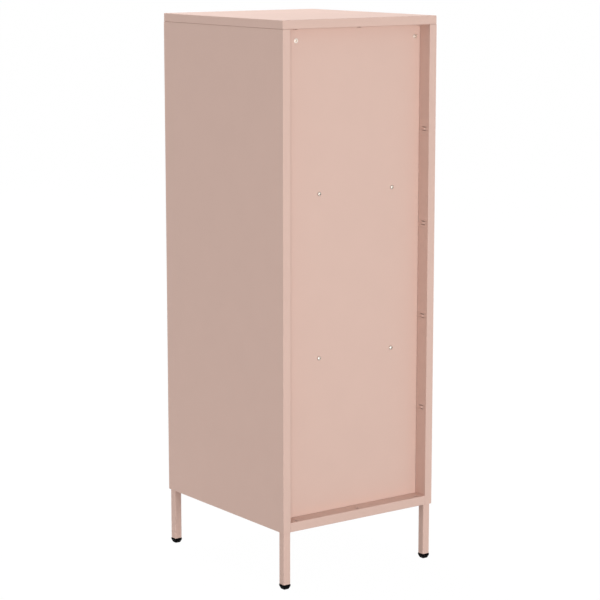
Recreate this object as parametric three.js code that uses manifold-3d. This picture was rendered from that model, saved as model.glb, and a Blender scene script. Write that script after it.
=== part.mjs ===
// Steel locker cabinet: a folded sheet case on four square tube legs, with three stacked
// compartments, each behind its own inset door with a cam lock. Millimetres, +Z up.
// The doors face -Y, the recessed back panel faces +Y, and the case is centred on X = 0.
// The origin is on the floor, under the centre of the whole cabinet with its door pulls.

import * as THREE from 'three';
import { mergeVertices } from 'three/addons/utils/BufferGeometryUtils.js';
import Module from 'manifold-3d';

const wasm = await Module();
wasm.setup();

// ---- Driving dimensions -------------------------------------------------------------------

// Case
const WIDTH = 370;
const DEPTH = 410;
const HEIGHT = 1100;
const SHEET = 0.8;               // thickness of every folded steel panel
const BEND_RADIUS = 1.2;         // on the middle line of the sheet
const BEND_STEPS = 3;
const COMPARTMENTS = 3;
const COMPARTMENT_NAMES = ['lower', 'middle', 'upper'];
const UNDERSIDE = 115;           // height of the case's lower edge above the floor
const PLINTH = 18.6;             // height of the tray that is the floor of the case
const LID = 17;                  // height of the lid's folded edge
const SEAM = 0.6;                // joint line between the lid and the side panels
const EDGE_FLANGE = 17;          // face width of the side panels' front and back edges
const BACK_RECESS = 30;          // back panel's outer face, in from the rear edges
const EDGE_LIP = 7;              // side panels' lips that the back panel lies against
const FRONT_RETURN = 23;         // depth of the side panels' front channels
const LID_LIP = 14;              // lid's inward lips at the sides
const RAIL = 17;                 // face height of the shelves' front edges
const RAIL_LIP = 19;             // lower lips of the shelves' front edges and of the lid
const SHELF_BACK_FLANGE = 24.4;
const SHELF_SIDE_FLANGE = 18;
const PLINTH_LIP = 14;

// Hook bridges round the rear recess: a strip of the sheet between two slots, pushed out
const BRIDGE_LENGTH = 12;
const BRIDGE_WIDTH = 5.5;
const BRIDGE_RISE = 2.5;
const BRIDGE_RAMP = 2.5;           // length of the slope at each end
const BRIDGE_SLOT = 1.2;         // width of the slot on each side of the strip
const SIDE_BRIDGE_PITCH = 187.5;
const SIDE_BRIDGES = 4;
const LOWEST_SIDE_BRIDGE = 316;  // height above the floor
const SIDE_BRIDGE_INSET = 15;    // in from the rear edge of the case
const LEDGE_BRIDGES = 3;
const LEDGE_BRIDGE_MARGIN = 18;  // outermost bridges, in from the side panels' edges
const LEDGE_BRIDGE_INSET = 10;

// Fixings in the back panel
const SHELF_SCREW_PITCH = 178;
const SHELF_SCREW_OFFSET = -11;  // middle of each pair of screws, off the case's middle
const SHELF_SCREW = { shank: 4, head: 8.6, dome: 2.5, length: 9 };
const LEFT_ANCHOR_INSET = 12.5;  // in from the left side panel's edge
const RIGHT_ANCHOR_INSET = 34.5;
const ANCHOR_BELOW_LID = 23.5;
const ANCHOR = { body: 7, flange: 9.4, flangeThickness: 0.9, bore: 4, length: 12 };

// Legs and glides
const LEG = 16;
const LEG_WALL = 1.2;
const LEG_INSET = 2.5;           // in from the outer faces of the case
const LEG_CAP = 3;               // threaded plate welded into the tube's top
const GLIDE_HEIGHT = 10;
const GLIDE_OVERHANG = 0.25;     // glide's collar past the tube, on each side
const GLIDE_COLLAR = 3.5;
const GLIDE_FOOT = 11;
const GLIDE_STEM = 14;
const LEG_BOLT = { shank: 6, head: 10, headHeight: 4, length: 14 };

// Doors
const DOOR_GAP = 2;              // running gap round each door
const DOOR_THICKNESS = 16;
const DOOR_LIP = 12;
const PIN = 4;                   // diameter of the hinge pins
const PIN_INSET = 9;             // pin's axis, in from the hinge edge of the door
const PIN_SETBACK = 5;           // pin's axis, behind the door's face
const PIN_IN_DOOR = 14;
const PIN_IN_FRAME = 5;
const PIN_COLLAR = 8;
const PIN_COLLAR_THICKNESS = 2;
const STIFFENER_WIDTH = 54;
const STIFFENER_BRIM = 12;
const VENTS = 4;
const VENT_LENGTH = 90;
const VENT_WIDTH = 3.2;
const VENT_PITCH = 9;
const VENT_BELOW_TOP = 30;       // first vent, under the door's top edge
const BUMPER = 6;                // diameter of the rubber door bumpers
const BUMPER_INSET = 32;         // above the door's lower edge

// Door pulls
const PULL_LENGTH = 88;
const PULL_BAR = 8;
const PULL_REACH = 26;           // in front of the door's face
const PULL_ABOVE_LOCK = 70;      // middle of the pull above the lock's axis
const PULL_SCREW = 3.4;

// Cam locks
const LOCK_INSET = 22;           // lock's axis, in from the door's free edge
const LOCK_BELOW_MIDDLE = 30;    // lock's axis, under the middle of the door
const LOCK_BODY = 16;
const LOCK_FLATS = 14;
const LOCK_HEAD = 21;
const LOCK_HEAD_THICKNESS = 3;
const LOCK_NUT = 21;
const LOCK_NUT_THICKNESS = 3;
const PLUG = 11;
const CAM_LENGTH = 30;
const CAM_WIDTH = 15;
const CAM_THICKNESS = 2;
const CAM_SQUARE = 6;
const CAM_HEAD = 9.6;
const KEY_THICKNESS = 1.8;
const KEY_BLADE = 7;
const KEY_BLADE_LENGTH = 17;
const KEY_BOW = 22;
const KEY_STANDOFF = 1;          // bow's shoulders, in front of the lock's head
const KEY_HOLE = 5;

// Clearances
const SEAT = 0.3;                // between pieces that lie against each other
const FREE = 0.3;                // round a pin, screw or bolt in its hole

const ROUND_STEPS = 24;
const SMALL_ROUND_STEPS = 16;

// ---- Places worked out from the sizes ---------------------------------------------------------

const HALF_WIDTH = WIDTH / 2;
const HALF_DEPTH = DEPTH / 2;
const LID_BOTTOM = HEIGHT - LID;
const CASE_TOP = LID_BOTTOM - SEAM;
const FLOOR_TOP = UNDERSIDE + PLINTH;
const MOUTH_HALF = HALF_WIDTH - EDGE_FLANGE;           // half the width between the side edges
const BACK_FACE = HALF_DEPTH - BACK_RECESS;            // back panel's outer face
const BACK_INNER = BACK_FACE - SHEET;
const OPENING_HEIGHT = (LID_BOTTOM - FLOOR_TOP - (COMPARTMENTS - 1) * RAIL) / COMPARTMENTS;
const FRONT_STOP = -HALF_DEPTH + FRONT_RETURN;         // inner face of the door stop lips
const DOOR_WIDTH = 2 * (MOUTH_HALF - DOOR_GAP);
const DOOR_HEIGHT = OPENING_HEIGHT - 2 * DOOR_GAP;
const DOOR_BACK = -HALF_DEPTH + DOOR_THICKNESS;
const PIN_X = MOUTH_HALF - DOOR_GAP - PIN_INSET;
const PIN_Y = -HALF_DEPTH + PIN_SETBACK;
const LOCK_X = -MOUTH_HALF + DOOR_GAP + LOCK_INSET;
const LOCK_HEAD_FRONT = -HALF_DEPTH - SEAT - LOCK_HEAD_THICKNESS;
const CAM_FRONT = FRONT_STOP + 2;                      // the cam turns 2 mm behind the stop lip
const LEG_X = HALF_WIDTH - LEG_INSET - LEG / 2;
const LEG_Y = HALF_DEPTH - LEG_INSET - LEG / 2;
const LEG_TOP = UNDERSIDE - SEAT;
const KEY_REACH = SEAT + LOCK_HEAD_THICKNESS + KEY_STANDOFF
  + (KEY_BOW / 2) * (1 + Math.cos(Math.asin(KEY_BLADE / KEY_BOW)));
const FRONT_REACH = Math.max(PULL_REACH, KEY_REACH);   // furthest that anything stands proud

const compartmentFloor = (level) => FLOOR_TOP + level * (OPENING_HEIGHT + RAIL);
const doorBottom = (level) => compartmentFloor(level) + DOOR_GAP;
const lockHeight = (level) => doorBottom(level) + DOOR_HEIGHT / 2 - LOCK_BELOW_MIDDLE;
const shelfScrewHeight = (level) => compartmentFloor(level) - SHELF_BACK_FLANGE / 2;

// ---- Materials ----------------------------------------------------------------------------------

function finish(color, roughness, metalness) {
  return new THREE.MeshStandardMaterial({ color, roughness, metalness });
}

const paint = () => finish(0xdabaae, 0.5, 0);
const zinc = () => finish(0xc9cbcc, 0.35, 1);
const chrome = () => finish(0xd8dadb, 0.15, 1);
const blackPlastic = () => finish(0x101011, 0.5, 0);
const rubber = () => finish(0x1c1c1d, 0.85, 0);

// ---- Solids -------------------------------------------------------------------------------------

const MICROMETRE = 0.001;

// A closed solid from a geometry, its corners rounded so that level faces are exactly level.
function solid(geometry) {
  geometry.deleteAttribute('normal');
  geometry.deleteAttribute('uv');
  const merged = mergeVertices(geometry);
  return new wasm.Manifold(new wasm.Mesh({
    numProp: 3,
    vertProperties: Float32Array.from(
      merged.attributes.position.array, (value) => Math.round(value / MICROMETRE) * MICROMETRE),
    triVerts: new Uint32Array(merged.index.array),
  }));
}

function box([x0, x1], [y0, y1], [z0, z1]) {
  const geometry = new THREE.BoxGeometry(x1 - x0, y1 - y0, z1 - z0);
  geometry.translate((x0 + x1) / 2, (y0 + y1) / 2, (z0 + z1) / 2);
  return solid(geometry);
}

// A cylinder along Y from y0 to y1.
function roundAlongY(diameter, x, z, [y0, y1], steps = ROUND_STEPS) {
  const geometry = new THREE.CylinderGeometry(diameter / 2, diameter / 2, y1 - y0, steps);
  geometry.translate(x, (y0 + y1) / 2, z);
  return solid(geometry);
}

// A cylinder along Z from z0 to z1.
function roundAlongZ(diameter, x, y, [z0, z1], steps = ROUND_STEPS) {
  const geometry = new THREE.CylinderGeometry(diameter / 2, diameter / 2, z1 - z0, steps);
  geometry.rotateX(Math.PI / 2);
  geometry.translate(x, y, (z0 + z1) / 2);
  return solid(geometry);
}

// A turned piece: profile points are [radius, distance along the axis], from axis to axis.
function turned(profile, steps = ROUND_STEPS) {
  return new THREE.LatheGeometry(profile.map(([r, h]) => new THREE.Vector2(r, h)), steps);
}

// An outline in the XY plane, raised from z0 to z1.
function raised(shape, [z0, z1]) {
  const geometry = new THREE.ExtrudeGeometry(shape, { depth: z1 - z0, bevelEnabled: false });
  geometry.translate(0, 0, z0);
  return solid(geometry);
}

// An outline drawn as seen from the front (X, Z), given a thickness from y0 to y1.
function plate(shape, [y0, y1]) {
  const geometry = new THREE.ExtrudeGeometry(shape, { depth: y1 - y0, bevelEnabled: false });
  geometry.rotateX(Math.PI / 2);
  geometry.translate(0, y1, 0);
  return solid(geometry);
}

// An outline drawn as seen from the right (Y, Z), drawn out from x0 to x1.
function acrossCabinet(shape, [x0, x1]) {
  const geometry = new THREE.ExtrudeGeometry(shape, { depth: x1 - x0, bevelEnabled: false });
  geometry.rotateX(Math.PI / 2);
  geometry.rotateZ(Math.PI / 2);
  geometry.translate(x0, 0, 0);
  return solid(geometry);
}

function joined(pieces) {
  return pieces.reduce((whole, piece) => whole.add(piece));
}

function without(whole, pieces) {
  return pieces.reduce((rest, piece) => rest.subtract(piece), whole);
}

// A closed outline of corners [x, y, radius], mirrored across x = 0 where side is -1.
function roundedOutline(corners, side) {
  const points = corners.flatMap(([x, y, radius], i) => {
    const here = new THREE.Vector2(x, y);
    if (radius === 0) {
      return [here];
    }
    const [beforeX, beforeY] = corners[(i + corners.length - 1) % corners.length];
    const [afterX, afterY] = corners[(i + 1) % corners.length];
    const toBefore = new THREE.Vector2(beforeX - x, beforeY - y).normalize();
    const toAfter = new THREE.Vector2(afterX - x, afterY - y).normalize();
    const centre = here.clone().addScaledVector(toBefore, radius).addScaledVector(toAfter, radius);
    return Array.from({ length: BEND_STEPS + 1 }, (_, step) => {
      const angle = (Math.PI / 2) * (step / BEND_STEPS);
      return centre.clone().addScaledVector(toAfter, -radius * Math.cos(angle))
        .addScaledVector(toBefore, -radius * Math.sin(angle));
    });
  });
  return new THREE.Shape(points.map(({ x, y }) => new THREE.Vector2(side * x, y)));
}

// The outline of a sheet folded along a path of middle-line points with square bends.
function foldedOutline(path) {
  const middle = [];
  path.forEach((point, i) => {
    const here = new THREE.Vector2(...point);
    const before = i > 0 ? new THREE.Vector2(...path[i - 1]) : null;
    const after = i < path.length - 1 ? new THREE.Vector2(...path[i + 1]) : null;
    if (!before || !after) {
      const along = (before ? here.clone().sub(before) : after.clone().sub(here)).normalize();
      middle.push({ at: here, normal: new THREE.Vector2(-along.y, along.x) });
      return;
    }
    const inward = here.clone().sub(before).normalize();
    const outward = after.clone().sub(here).normalize();
    const turn = Math.sign(inward.x * outward.y - inward.y * outward.x);
    const start = here.clone().addScaledVector(inward, -BEND_RADIUS);
    const startNormal = new THREE.Vector2(-inward.y, inward.x);
    const centre = start.clone().addScaledVector(startNormal, turn * BEND_RADIUS);
    for (let step = 0; step <= BEND_STEPS; step += 1) {
      const angle = turn * (Math.PI / 2) * (step / BEND_STEPS);
      const normal = startNormal.clone().rotateAround(new THREE.Vector2(), angle);
      middle.push({ at: centre.clone().addScaledVector(normal, -turn * BEND_RADIUS), normal });
    }
  });
  const left = middle.map(({ at, normal }) => at.clone().addScaledVector(normal, SHEET / 2));
  const right = middle.map(({ at, normal }) => at.clone().addScaledVector(normal, -SHEET / 2));
  return new THREE.Shape([...left, ...right.reverse()]);
}

const cabinet = new THREE.Group();
cabinet.position.y = FRONT_REACH / 2;

function add(name, whole, material) {
  const { vertProperties, triVerts } = whole.getMesh();
  const geometry = new THREE.BufferGeometry();
  geometry.setAttribute('position', new THREE.BufferAttribute(vertProperties, 3));
  geometry.setIndex(new THREE.BufferAttribute(triVerts, 1));
  geometry.computeVertexNormals();
  const mesh = new THREE.Mesh(geometry, material);
  mesh.name = name;
  cabinet.add(mesh);
}

function addTurned(name, geometry, material, place) {
  const mesh = new THREE.Mesh(geometry, material);
  mesh.name = name;
  place(mesh);
  cabinet.add(mesh);
}

// ---- Case -----------------------------------------------------------------------------------------

// The side view of a hook bridge, as corners [distance along it, height above the sheet's
// face]. Its feet end inside the sheet, past the ends of its slots.
function bridgeCorners() {
  const slotEnd = BRIDGE_LENGTH / 2;
  const foot = slotEnd + SHEET;
  const crown = slotEnd - BRIDGE_RAMP;
  const [footTop, footBottom] = [-SHEET / 4, -3 * SHEET / 4];
  const oneEnd = [
    [-crown + SHEET / 2, BRIDGE_RISE - SHEET], [-slotEnd + SHEET / 2, footBottom],
    [-foot, footBottom], [-foot, footTop], [-crown, BRIDGE_RISE]];
  return [...oneEnd, ...oneEnd.map(([along, height]) => [-along, height]).reverse()];
}

// Middles of a row of copies, spread evenly from -reach to reach.
const rowAboutZero = (count, reach) => Array.from(
  { length: count }, (_, i) => reach * (2 * i / (count - 1) - 1));

// Opens a hole for each hook bridge in a sheet and puts the bridges across the holes.
function withBridges(sheet, bridges) {
  return joined([
    without(sheet, bridges.map(({ hole }) => hole)), ...bridges.map(({ strip }) => strip)]);
}

const about = (middle, width) => [middle - width / 2, middle + width / 2];
const BRIDGE_HOLE = BRIDGE_WIDTH + 2 * BRIDGE_SLOT;

// Hook bridges on the rear return of a side panel, one above the other.
function sideBridges(side) {
  const y = HALF_DEPTH - SIDE_BRIDGE_INSET;
  const outline = new THREE.Shape(bridgeCorners().map(
    ([along, height]) => new THREE.Vector2(side * (MOUTH_HALF - height), y + along)));
  return Array.from({ length: SIDE_BRIDGES }, (_, i) => {
    const z = LOWEST_SIDE_BRIDGE + i * SIDE_BRIDGE_PITCH;
    return {
      hole: box(about(side * (MOUTH_HALF + SHEET / 2), 2 * SHEET), about(y, BRIDGE_LENGTH),
        about(z, BRIDGE_HOLE)),
      strip: raised(outline, about(z, BRIDGE_WIDTH)),
    };
  });
}

// Hook bridges on a level strip behind the rear edge. Its face is at height z and looks up
// or down, and up is +1 or -1.
function ledgeBridges(z, up) {
  const y = HALF_DEPTH - LEDGE_BRIDGE_INSET;
  return rowAboutZero(LEDGE_BRIDGES, MOUTH_HALF - LEDGE_BRIDGE_MARGIN).map((x) => {
    const outline = new THREE.Shape(bridgeCorners().map(
      ([along, height]) => new THREE.Vector2(x + along, z + up * height)));
    return {
      hole: box(about(x, BRIDGE_LENGTH), about(y, BRIDGE_HOLE),
        about(z - up * SHEET / 2, 2 * SHEET)),
      strip: plate(outline, about(y, BRIDGE_WIDTH)),
    };
  });
}

// A side panel, folded from one sheet: a web with a channel along its front and back edges,
// and a flange turned in at its top and bottom. side is +1 for the right and -1 for the left.
function sidePanel(side) {
  const bendOutside = BEND_RADIUS + SHEET / 2;
  const bendInside = BEND_RADIUS - SHEET / 2;
  const backLip = BACK_INNER - SEAT;
  const lipEdge = MOUTH_HALF - EDGE_LIP;
  const block = roundedOutline([
    [MOUTH_HALF, -HALF_DEPTH, bendOutside], [HALF_WIDTH, -HALF_DEPTH, bendOutside],
    [HALF_WIDTH, HALF_DEPTH, bendOutside], [MOUTH_HALF, HALF_DEPTH, bendOutside],
    [MOUTH_HALF, backLip, 0], [lipEdge, backLip, 0],
    [lipEdge, FRONT_STOP - SHEET, 0], [MOUTH_HALF, FRONT_STOP - SHEET, 0],
  ], side);
  const inner = MOUTH_HALF + SHEET;
  const web = HALF_WIDTH - SHEET;
  const rear = HALF_DEPTH - SHEET;
  const past = lipEdge - EDGE_LIP;
  const hollow = roundedOutline([
    [inner, -rear, bendInside], [web, -rear, bendInside], [web, rear, bendInside],
    [inner, rear, bendInside], [inner, backLip - SHEET, 0], [past, backLip - SHEET, 0],
    [past, FRONT_STOP, 0], [inner, FRONT_STOP, 0],
  ], side);
  const panel = raised(block, [UNDERSIDE, CASE_TOP])
    .subtract(raised(hollow, [UNDERSIDE + SHEET, CASE_TOP - SHEET]));
  const boltHoles = [-LEG_Y, LEG_Y].map((y) => roundAlongZ(
    LEG_BOLT.shank + 2 * FREE, side * LEG_X, y, [UNDERSIDE - SHEET, UNDERSIDE + 2 * SHEET],
    SMALL_ROUND_STEPS));
  return withBridges(without(panel, boltHoles), sideBridges(side));
}

// The room that the side panels' channels and lips take up at the four corners of a deck.
function cornerRoom([z0, z1]) {
  const tall = [z0 - SHEET, z1 + SHEET];
  const past = 10;
  const far = HALF_WIDTH + past;
  const channel = MOUTH_HALF - SEAT;
  const lip = channel - EDGE_LIP;
  const front = { near: -HALF_DEPTH - past,
    step: FRONT_STOP - SHEET - SEAT, end: FRONT_STOP + SEAT };
  const back = { near: HALF_DEPTH + past,
    step: BACK_INNER, end: BACK_INNER - 2 * SEAT - SHEET };
  return [front, back].flatMap(({ near, step, end }) => [-1, 1].map((side) => {
    const corners = [
      [channel, near], [far, near], [far, end], [lip, end], [lip, step], [channel, step]];
    return raised(new THREE.Shape(corners.map(([x, y]) => new THREE.Vector2(side * x, y))), tall);
  }));
}

// The width between the side panels' webs, and the width between their channels.
const betweenWebs = [-(HALF_WIDTH - SHEET - SEAT), HALF_WIDTH - SHEET - SEAT];
const betweenChannels = [-(MOUTH_HALF - SEAT), MOUTH_HALF - SEAT];

function pinHole(z) {
  return roundAlongZ(PIN + 2 * FREE, PIN_X, PIN_Y, [z - SHEET, z + SHEET], SMALL_ROUND_STEPS);
}

// A tray folded from one sheet: a box hollowed to the sheet's thickness, and then its mouth.
function tray(outer, mouth) {
  const hollow = outer.map(([from, to]) => [from + SHEET, to - SHEET]);
  return without(box(...outer), [box(...hollow), box(...mouth)]);
}

// The lid: a shallow tray, open downwards, with lips turned in under its edge.
function lid() {
  const shell = tray(
    [[-HALF_WIDTH, HALF_WIDTH], [-HALF_DEPTH, HALF_DEPTH], [LID_BOTTOM, HEIGHT]],
    [[-HALF_WIDTH + LID_LIP, HALF_WIDTH - LID_LIP], [-HALF_DEPTH + RAIL_LIP, BACK_FACE + SEAT],
      [LID_BOTTOM - SHEET, LID_BOTTOM + 2 * SHEET]]);
  return withBridges(
    without(shell, [pinHole(LID_BOTTOM + SHEET / 2)]), ledgeBridges(LID_BOTTOM, -1));
}

// The floor tray: open downwards, notched round the side panels' channels and bottom flanges.
function plinth() {
  const [left, right] = betweenWebs;
  const lipEdge = MOUTH_HALF - EDGE_LIP;
  const flangeTop = UNDERSIDE + SHEET + SEAT;
  const below = [UNDERSIDE - SHEET, UNDERSIDE + 2 * SHEET];
  const shell = tray(
    [betweenWebs, [-HALF_DEPTH, HALF_DEPTH], [UNDERSIDE, FLOOR_TOP]],
    [[-lipEdge, lipEdge], [-HALF_DEPTH + PLINTH_LIP, HALF_DEPTH - PLINTH_LIP], below]);
  const flangeRoom = [[left - SHEET, SEAT - lipEdge], [lipEdge - SEAT, right + SHEET]].map(
    (across) => box(across, [FRONT_STOP - SHEET / 2, BACK_INNER - SHEET / 2],
      [UNDERSIDE - SHEET, flangeTop]));
  const notched = without(shell, [
    ...flangeRoom, ...cornerRoom([UNDERSIDE, FLOOR_TOP]), pinHole(FLOOR_TOP - SHEET / 2)]);
  return withBridges(notched, ledgeBridges(FLOOR_TOP, 1));
}

// The shelf that is the floor of a compartment: one sheet folded across the cabinet, with a
// front rail and a rear flange, and a flange turned down along each side.
function shelf(level) {
  const top = compartmentFloor(level);
  const rear = BACK_INNER - SEAT;
  const half = SHEET / 2;
  const [left, right] = betweenWebs;
  const section = foldedOutline([
    [-HALF_DEPTH + RAIL_LIP, top - RAIL + half], [-HALF_DEPTH + half, top - RAIL + half],
    [-HALF_DEPTH + half, top - half], [rear - half, top - half],
    [rear - half, top - SHELF_BACK_FLANGE],
  ]);
  const sideFlanges = [[left, left + SHEET], [right - SHEET, right]].map((across) => box(
    across, [-HALF_DEPTH, rear - 2 * SHEET], [top - SHELF_SIDE_FLANGE, top - half]));
  const screwHoles = shelfScrewPlaces.map((x) => roundAlongY(
    SHELF_SCREW.shank + 2 * FREE, x, shelfScrewHeight(level),
    [rear - 2 * SHEET, rear + SHEET], SMALL_ROUND_STEPS));
  return without(joined([acrossCabinet(section, [left + half, right - half]), ...sideFlanges]), [
    ...cornerRoom([top - SHELF_BACK_FLANGE, top]),
    pinHole(top - half), pinHole(top - RAIL + half), ...screwHoles]);
}

const shelfScrewPlaces = [-1, 1].map((side) => SHELF_SCREW_OFFSET + side * SHELF_SCREW_PITCH / 2);
const anchorPlaces = [LEFT_ANCHOR_INSET - MOUTH_HALF, MOUTH_HALF - RIGHT_ANCHOR_INSET];
const anchorHeight = LID_BOTTOM - ANCHOR_BELOW_LID;
const shelfLevels = Array.from({ length: COMPARTMENTS - 1 }, (_, i) => i + 1);

// The back panel: one flat sheet between the side panels' rear returns.
function backPanel() {
  const through = [BACK_INNER - SHEET, BACK_FACE + SHEET];
  const sheet = box(betweenChannels, [BACK_INNER, BACK_FACE], [FLOOR_TOP + SEAT, HEIGHT - SHEET - SEAT]);
  const screwHoles = shelfLevels.flatMap((level) => shelfScrewPlaces.map((x) => roundAlongY(
    SHELF_SCREW.shank + 2 * FREE, x, shelfScrewHeight(level), through, SMALL_ROUND_STEPS)));
  const anchorHoles = anchorPlaces.map((x) => roundAlongY(
    ANCHOR.body + 2 * FREE, x, anchorHeight, through, SMALL_ROUND_STEPS));
  return without(sheet, [...screwHoles, ...anchorHoles]);
}

// A domed screw that lies along -Y, its head against the face at y = 0.
function shelfScrew() {
  const { shank, head, dome, length } = SHELF_SCREW;
  const domeSteps = 5;
  const profile = [[0, -length], [shank / 2, -length], [shank / 2, 0], [head / 2, 0]];
  for (let step = 1; step <= domeSteps; step += 1) {
    const angle = (step / domeSteps) * (Math.PI / 2);
    profile.push([step === domeSteps ? 0 : (head / 2) * Math.cos(angle), dome * Math.sin(angle)]);
  }
  return turned(profile, SMALL_ROUND_STEPS);
}

// A threaded insert for a wall fixing, its flange against the face at y = 0.
function anchor() {
  const { body, flange, flangeThickness, bore, length } = ANCHOR;
  return turned([
    [bore / 2, -length], [body / 2, -length], [body / 2, 0], [flange / 2, 0],
    [flange / 2, flangeThickness], [bore / 2, flangeThickness], [bore / 2, -length],
  ]);
}

function addCase() {
  add('top_panel', lid(), paint());
  add('bottom_panel', plinth(), paint());
  add('right_side_panel', sidePanel(1), paint());
  add('left_side_panel', sidePanel(-1), paint());
  add('back_panel', backPanel(), paint());
  shelfLevels.forEach((level) => {
    add(`${COMPARTMENT_NAMES[level]}_shelf`, shelf(level), paint());
    shelfScrewPlaces.forEach((x, i) => {
      const side = i === 0 ? 'left' : 'right';
      addTurned(`${COMPARTMENT_NAMES[level]}_shelf_screw_${side}`, shelfScrew(), zinc(), (mesh) => {
        mesh.position.set(x, BACK_FACE + SEAT, shelfScrewHeight(level));
      });
    });
  });
  anchorPlaces.forEach((x, i) => {
    addTurned(`wall_anchor_${i === 0 ? 'left' : 'right'}`, anchor(), zinc(), (mesh) => {
      mesh.position.set(x, BACK_FACE + SEAT, anchorHeight);
    });
  });
}

// ---- Legs -----------------------------------------------------------------------------------------

// A square tube with a threaded plate in its top, open at the bottom.
function leg(x, y) {
  const square = (size, heights) => box(
    [x - size / 2, x + size / 2], [y - size / 2, y + size / 2], heights);
  const tube = square(LEG, [GLIDE_HEIGHT + SEAT, LEG_TOP]);
  const bore = square(LEG - 2 * LEG_WALL, [GLIDE_HEIGHT - SEAT, LEG_TOP - LEG_CAP]);
  const thread = roundAlongZ(
    LEG_BOLT.shank + 2 * FREE, x, y, [LEG_TOP - 2 * LEG_CAP, LEG_TOP + SEAT], SMALL_ROUND_STEPS);
  return without(tube, [bore, thread]);
}

// A plastic glide: a foot that widens to a square collar, and a stem that plugs the tube.
function glide() {
  const collar = LEG + 2 * GLIDE_OVERHANG;
  const stem = LEG - 2 * LEG_WALL - 2 * SEAT;
  const corner = (size) => size / Math.SQRT2;
  const geometry = turned([
    [0, 0], [corner(GLIDE_FOOT), 0], [corner(collar), GLIDE_HEIGHT - GLIDE_COLLAR],
    [corner(collar), GLIDE_HEIGHT], [corner(stem), GLIDE_HEIGHT],
    [corner(stem), GLIDE_HEIGHT + GLIDE_STEM], [0, GLIDE_HEIGHT + GLIDE_STEM],
  ], 4);
  return geometry.rotateY(Math.PI / 4);
}

// The bolt that holds a leg: its head on the side panel's bottom flange, its tip in the leg.
function legBolt() {
  const { shank, head, headHeight, length } = LEG_BOLT;
  return turned([
    [0, -length], [shank / 2, -length], [shank / 2, 0],
    [head / 2, 0], [head / 2, headHeight], [0, headHeight],
  ], SMALL_ROUND_STEPS);
}

function addLegs() {
  [['front', -1], ['rear', 1]].forEach(([depthName, depthSide]) => {
    [['left', -1], ['right', 1]].forEach(([widthName, widthSide]) => {
      const corner = `${depthName}_${widthName}`;
      const x = widthSide * LEG_X;
      const y = depthSide * LEG_Y;
      add(`${corner}_leg`, leg(x, y), paint());
      addTurned(`${corner}_glide`, glide(), blackPlastic(), (mesh) => {
        mesh.rotation.x = Math.PI / 2;
        mesh.position.set(x, y, 0);
      });
      addTurned(`${corner}_leg_bolt`, legBolt(), zinc(), (mesh) => {
        mesh.rotation.x = Math.PI / 2;
        mesh.position.set(x, y, UNDERSIDE + SHEET + SEAT);
      });
    });
  });
}

// ---- Doors ----------------------------------------------------------------------------------------

const doorAcross = [-DOOR_WIDTH / 2, DOOR_WIDTH / 2];
const pullPosts = [-1, 1].map((end) => end * (PULL_LENGTH - PULL_BAR) / 2);

// The round body of a lock, with its two flats, grown by a clearance.
function lockBodyShape(x, z, clearance) {
  const [y0, y1] = [-HALF_DEPTH - SEAT - LOCK_HEAD_THICKNESS / 2, CAM_FRONT - SEAT];
  const flats = LOCK_FLATS / 2 + clearance;
  return roundAlongY(LOCK_BODY + 2 * clearance, x, z, [y0, y1])
    .intersect(box([x - flats, x + flats], [y0, y1], [z - LOCK_BODY, z + LOCK_BODY]));
}

// A door: a tray open to the rear, with its vents and holes.
function doorPan(level) {
  const z0 = doorBottom(level);
  const z1 = z0 + DOOR_HEIGHT;
  const [left, right] = doorAcross;
  const throughSkin = [-HALF_DEPTH - SHEET, -HALF_DEPTH + 2 * SHEET];
  const pan = tray(
    [doorAcross, [-HALF_DEPTH, DOOR_BACK], [z0, z1]],
    [[left + DOOR_LIP, right - DOOR_LIP], [DOOR_BACK - 2 * SHEET, DOOR_BACK + SHEET],
      [z0 + DOOR_LIP, z1 - DOOR_LIP]]);
  const vents = Array.from({ length: VENTS }, (_, i) => {
    const z = z1 - VENT_BELOW_TOP - i * VENT_PITCH;
    return box([-VENT_LENGTH / 2, VENT_LENGTH / 2], throughSkin,
      [z - VENT_WIDTH / 2, z + VENT_WIDTH / 2]);
  });
  const pullHoles = pullPosts.map((offset) => roundAlongY(
    PULL_SCREW + 2 * FREE, LOCK_X, lockHeight(level) + PULL_ABOVE_LOCK + offset,
    throughSkin, SMALL_ROUND_STEPS));
  return without(pan, [
    ...vents, ...pullHoles, pinHole(z0 + SHEET / 2), pinHole(z1 - SHEET / 2),
    lockBodyShape(LOCK_X, lockHeight(level), FREE)]);
}

// A hat-section stiffener, spot-welded inside the door below the vents.
function doorStiffener(level) {
  const front = -HALF_DEPTH + SHEET + SEAT + SHEET / 2;
  const crown = DOOR_BACK - SHEET - SEAT - SHEET / 2;
  const half = STIFFENER_WIDTH / 2;
  const outline = foldedOutline([
    [-half - STIFFENER_BRIM, front], [-half, front], [-half, crown],
    [half, crown], [half, front], [half + STIFFENER_BRIM, front],
  ]);
  const lowest = doorBottom(level) + SHEET + SEAT;
  const ventBottom = doorBottom(level) + DOOR_HEIGHT - VENT_BELOW_TOP - VENTS * VENT_PITCH;
  return raised(outline, [lowest, ventBottom - VENT_WIDTH]);
}

// A hinge pin, turned about its axis: y = 0 is the door's edge and +y points to the frame.
function hingePin() {
  const collarFace = -SHEET - SEAT;
  return turned([
    [0, -PIN_IN_DOOR], [PIN / 2, -PIN_IN_DOOR], [PIN / 2, collarFace - PIN_COLLAR_THICKNESS],
    [PIN_COLLAR / 2, collarFace - PIN_COLLAR_THICKNESS], [PIN_COLLAR / 2, collarFace],
    [PIN / 2, collarFace], [PIN / 2, DOOR_GAP + PIN_IN_FRAME], [0, DOOR_GAP + PIN_IN_FRAME],
  ], SMALL_ROUND_STEPS);
}

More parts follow.
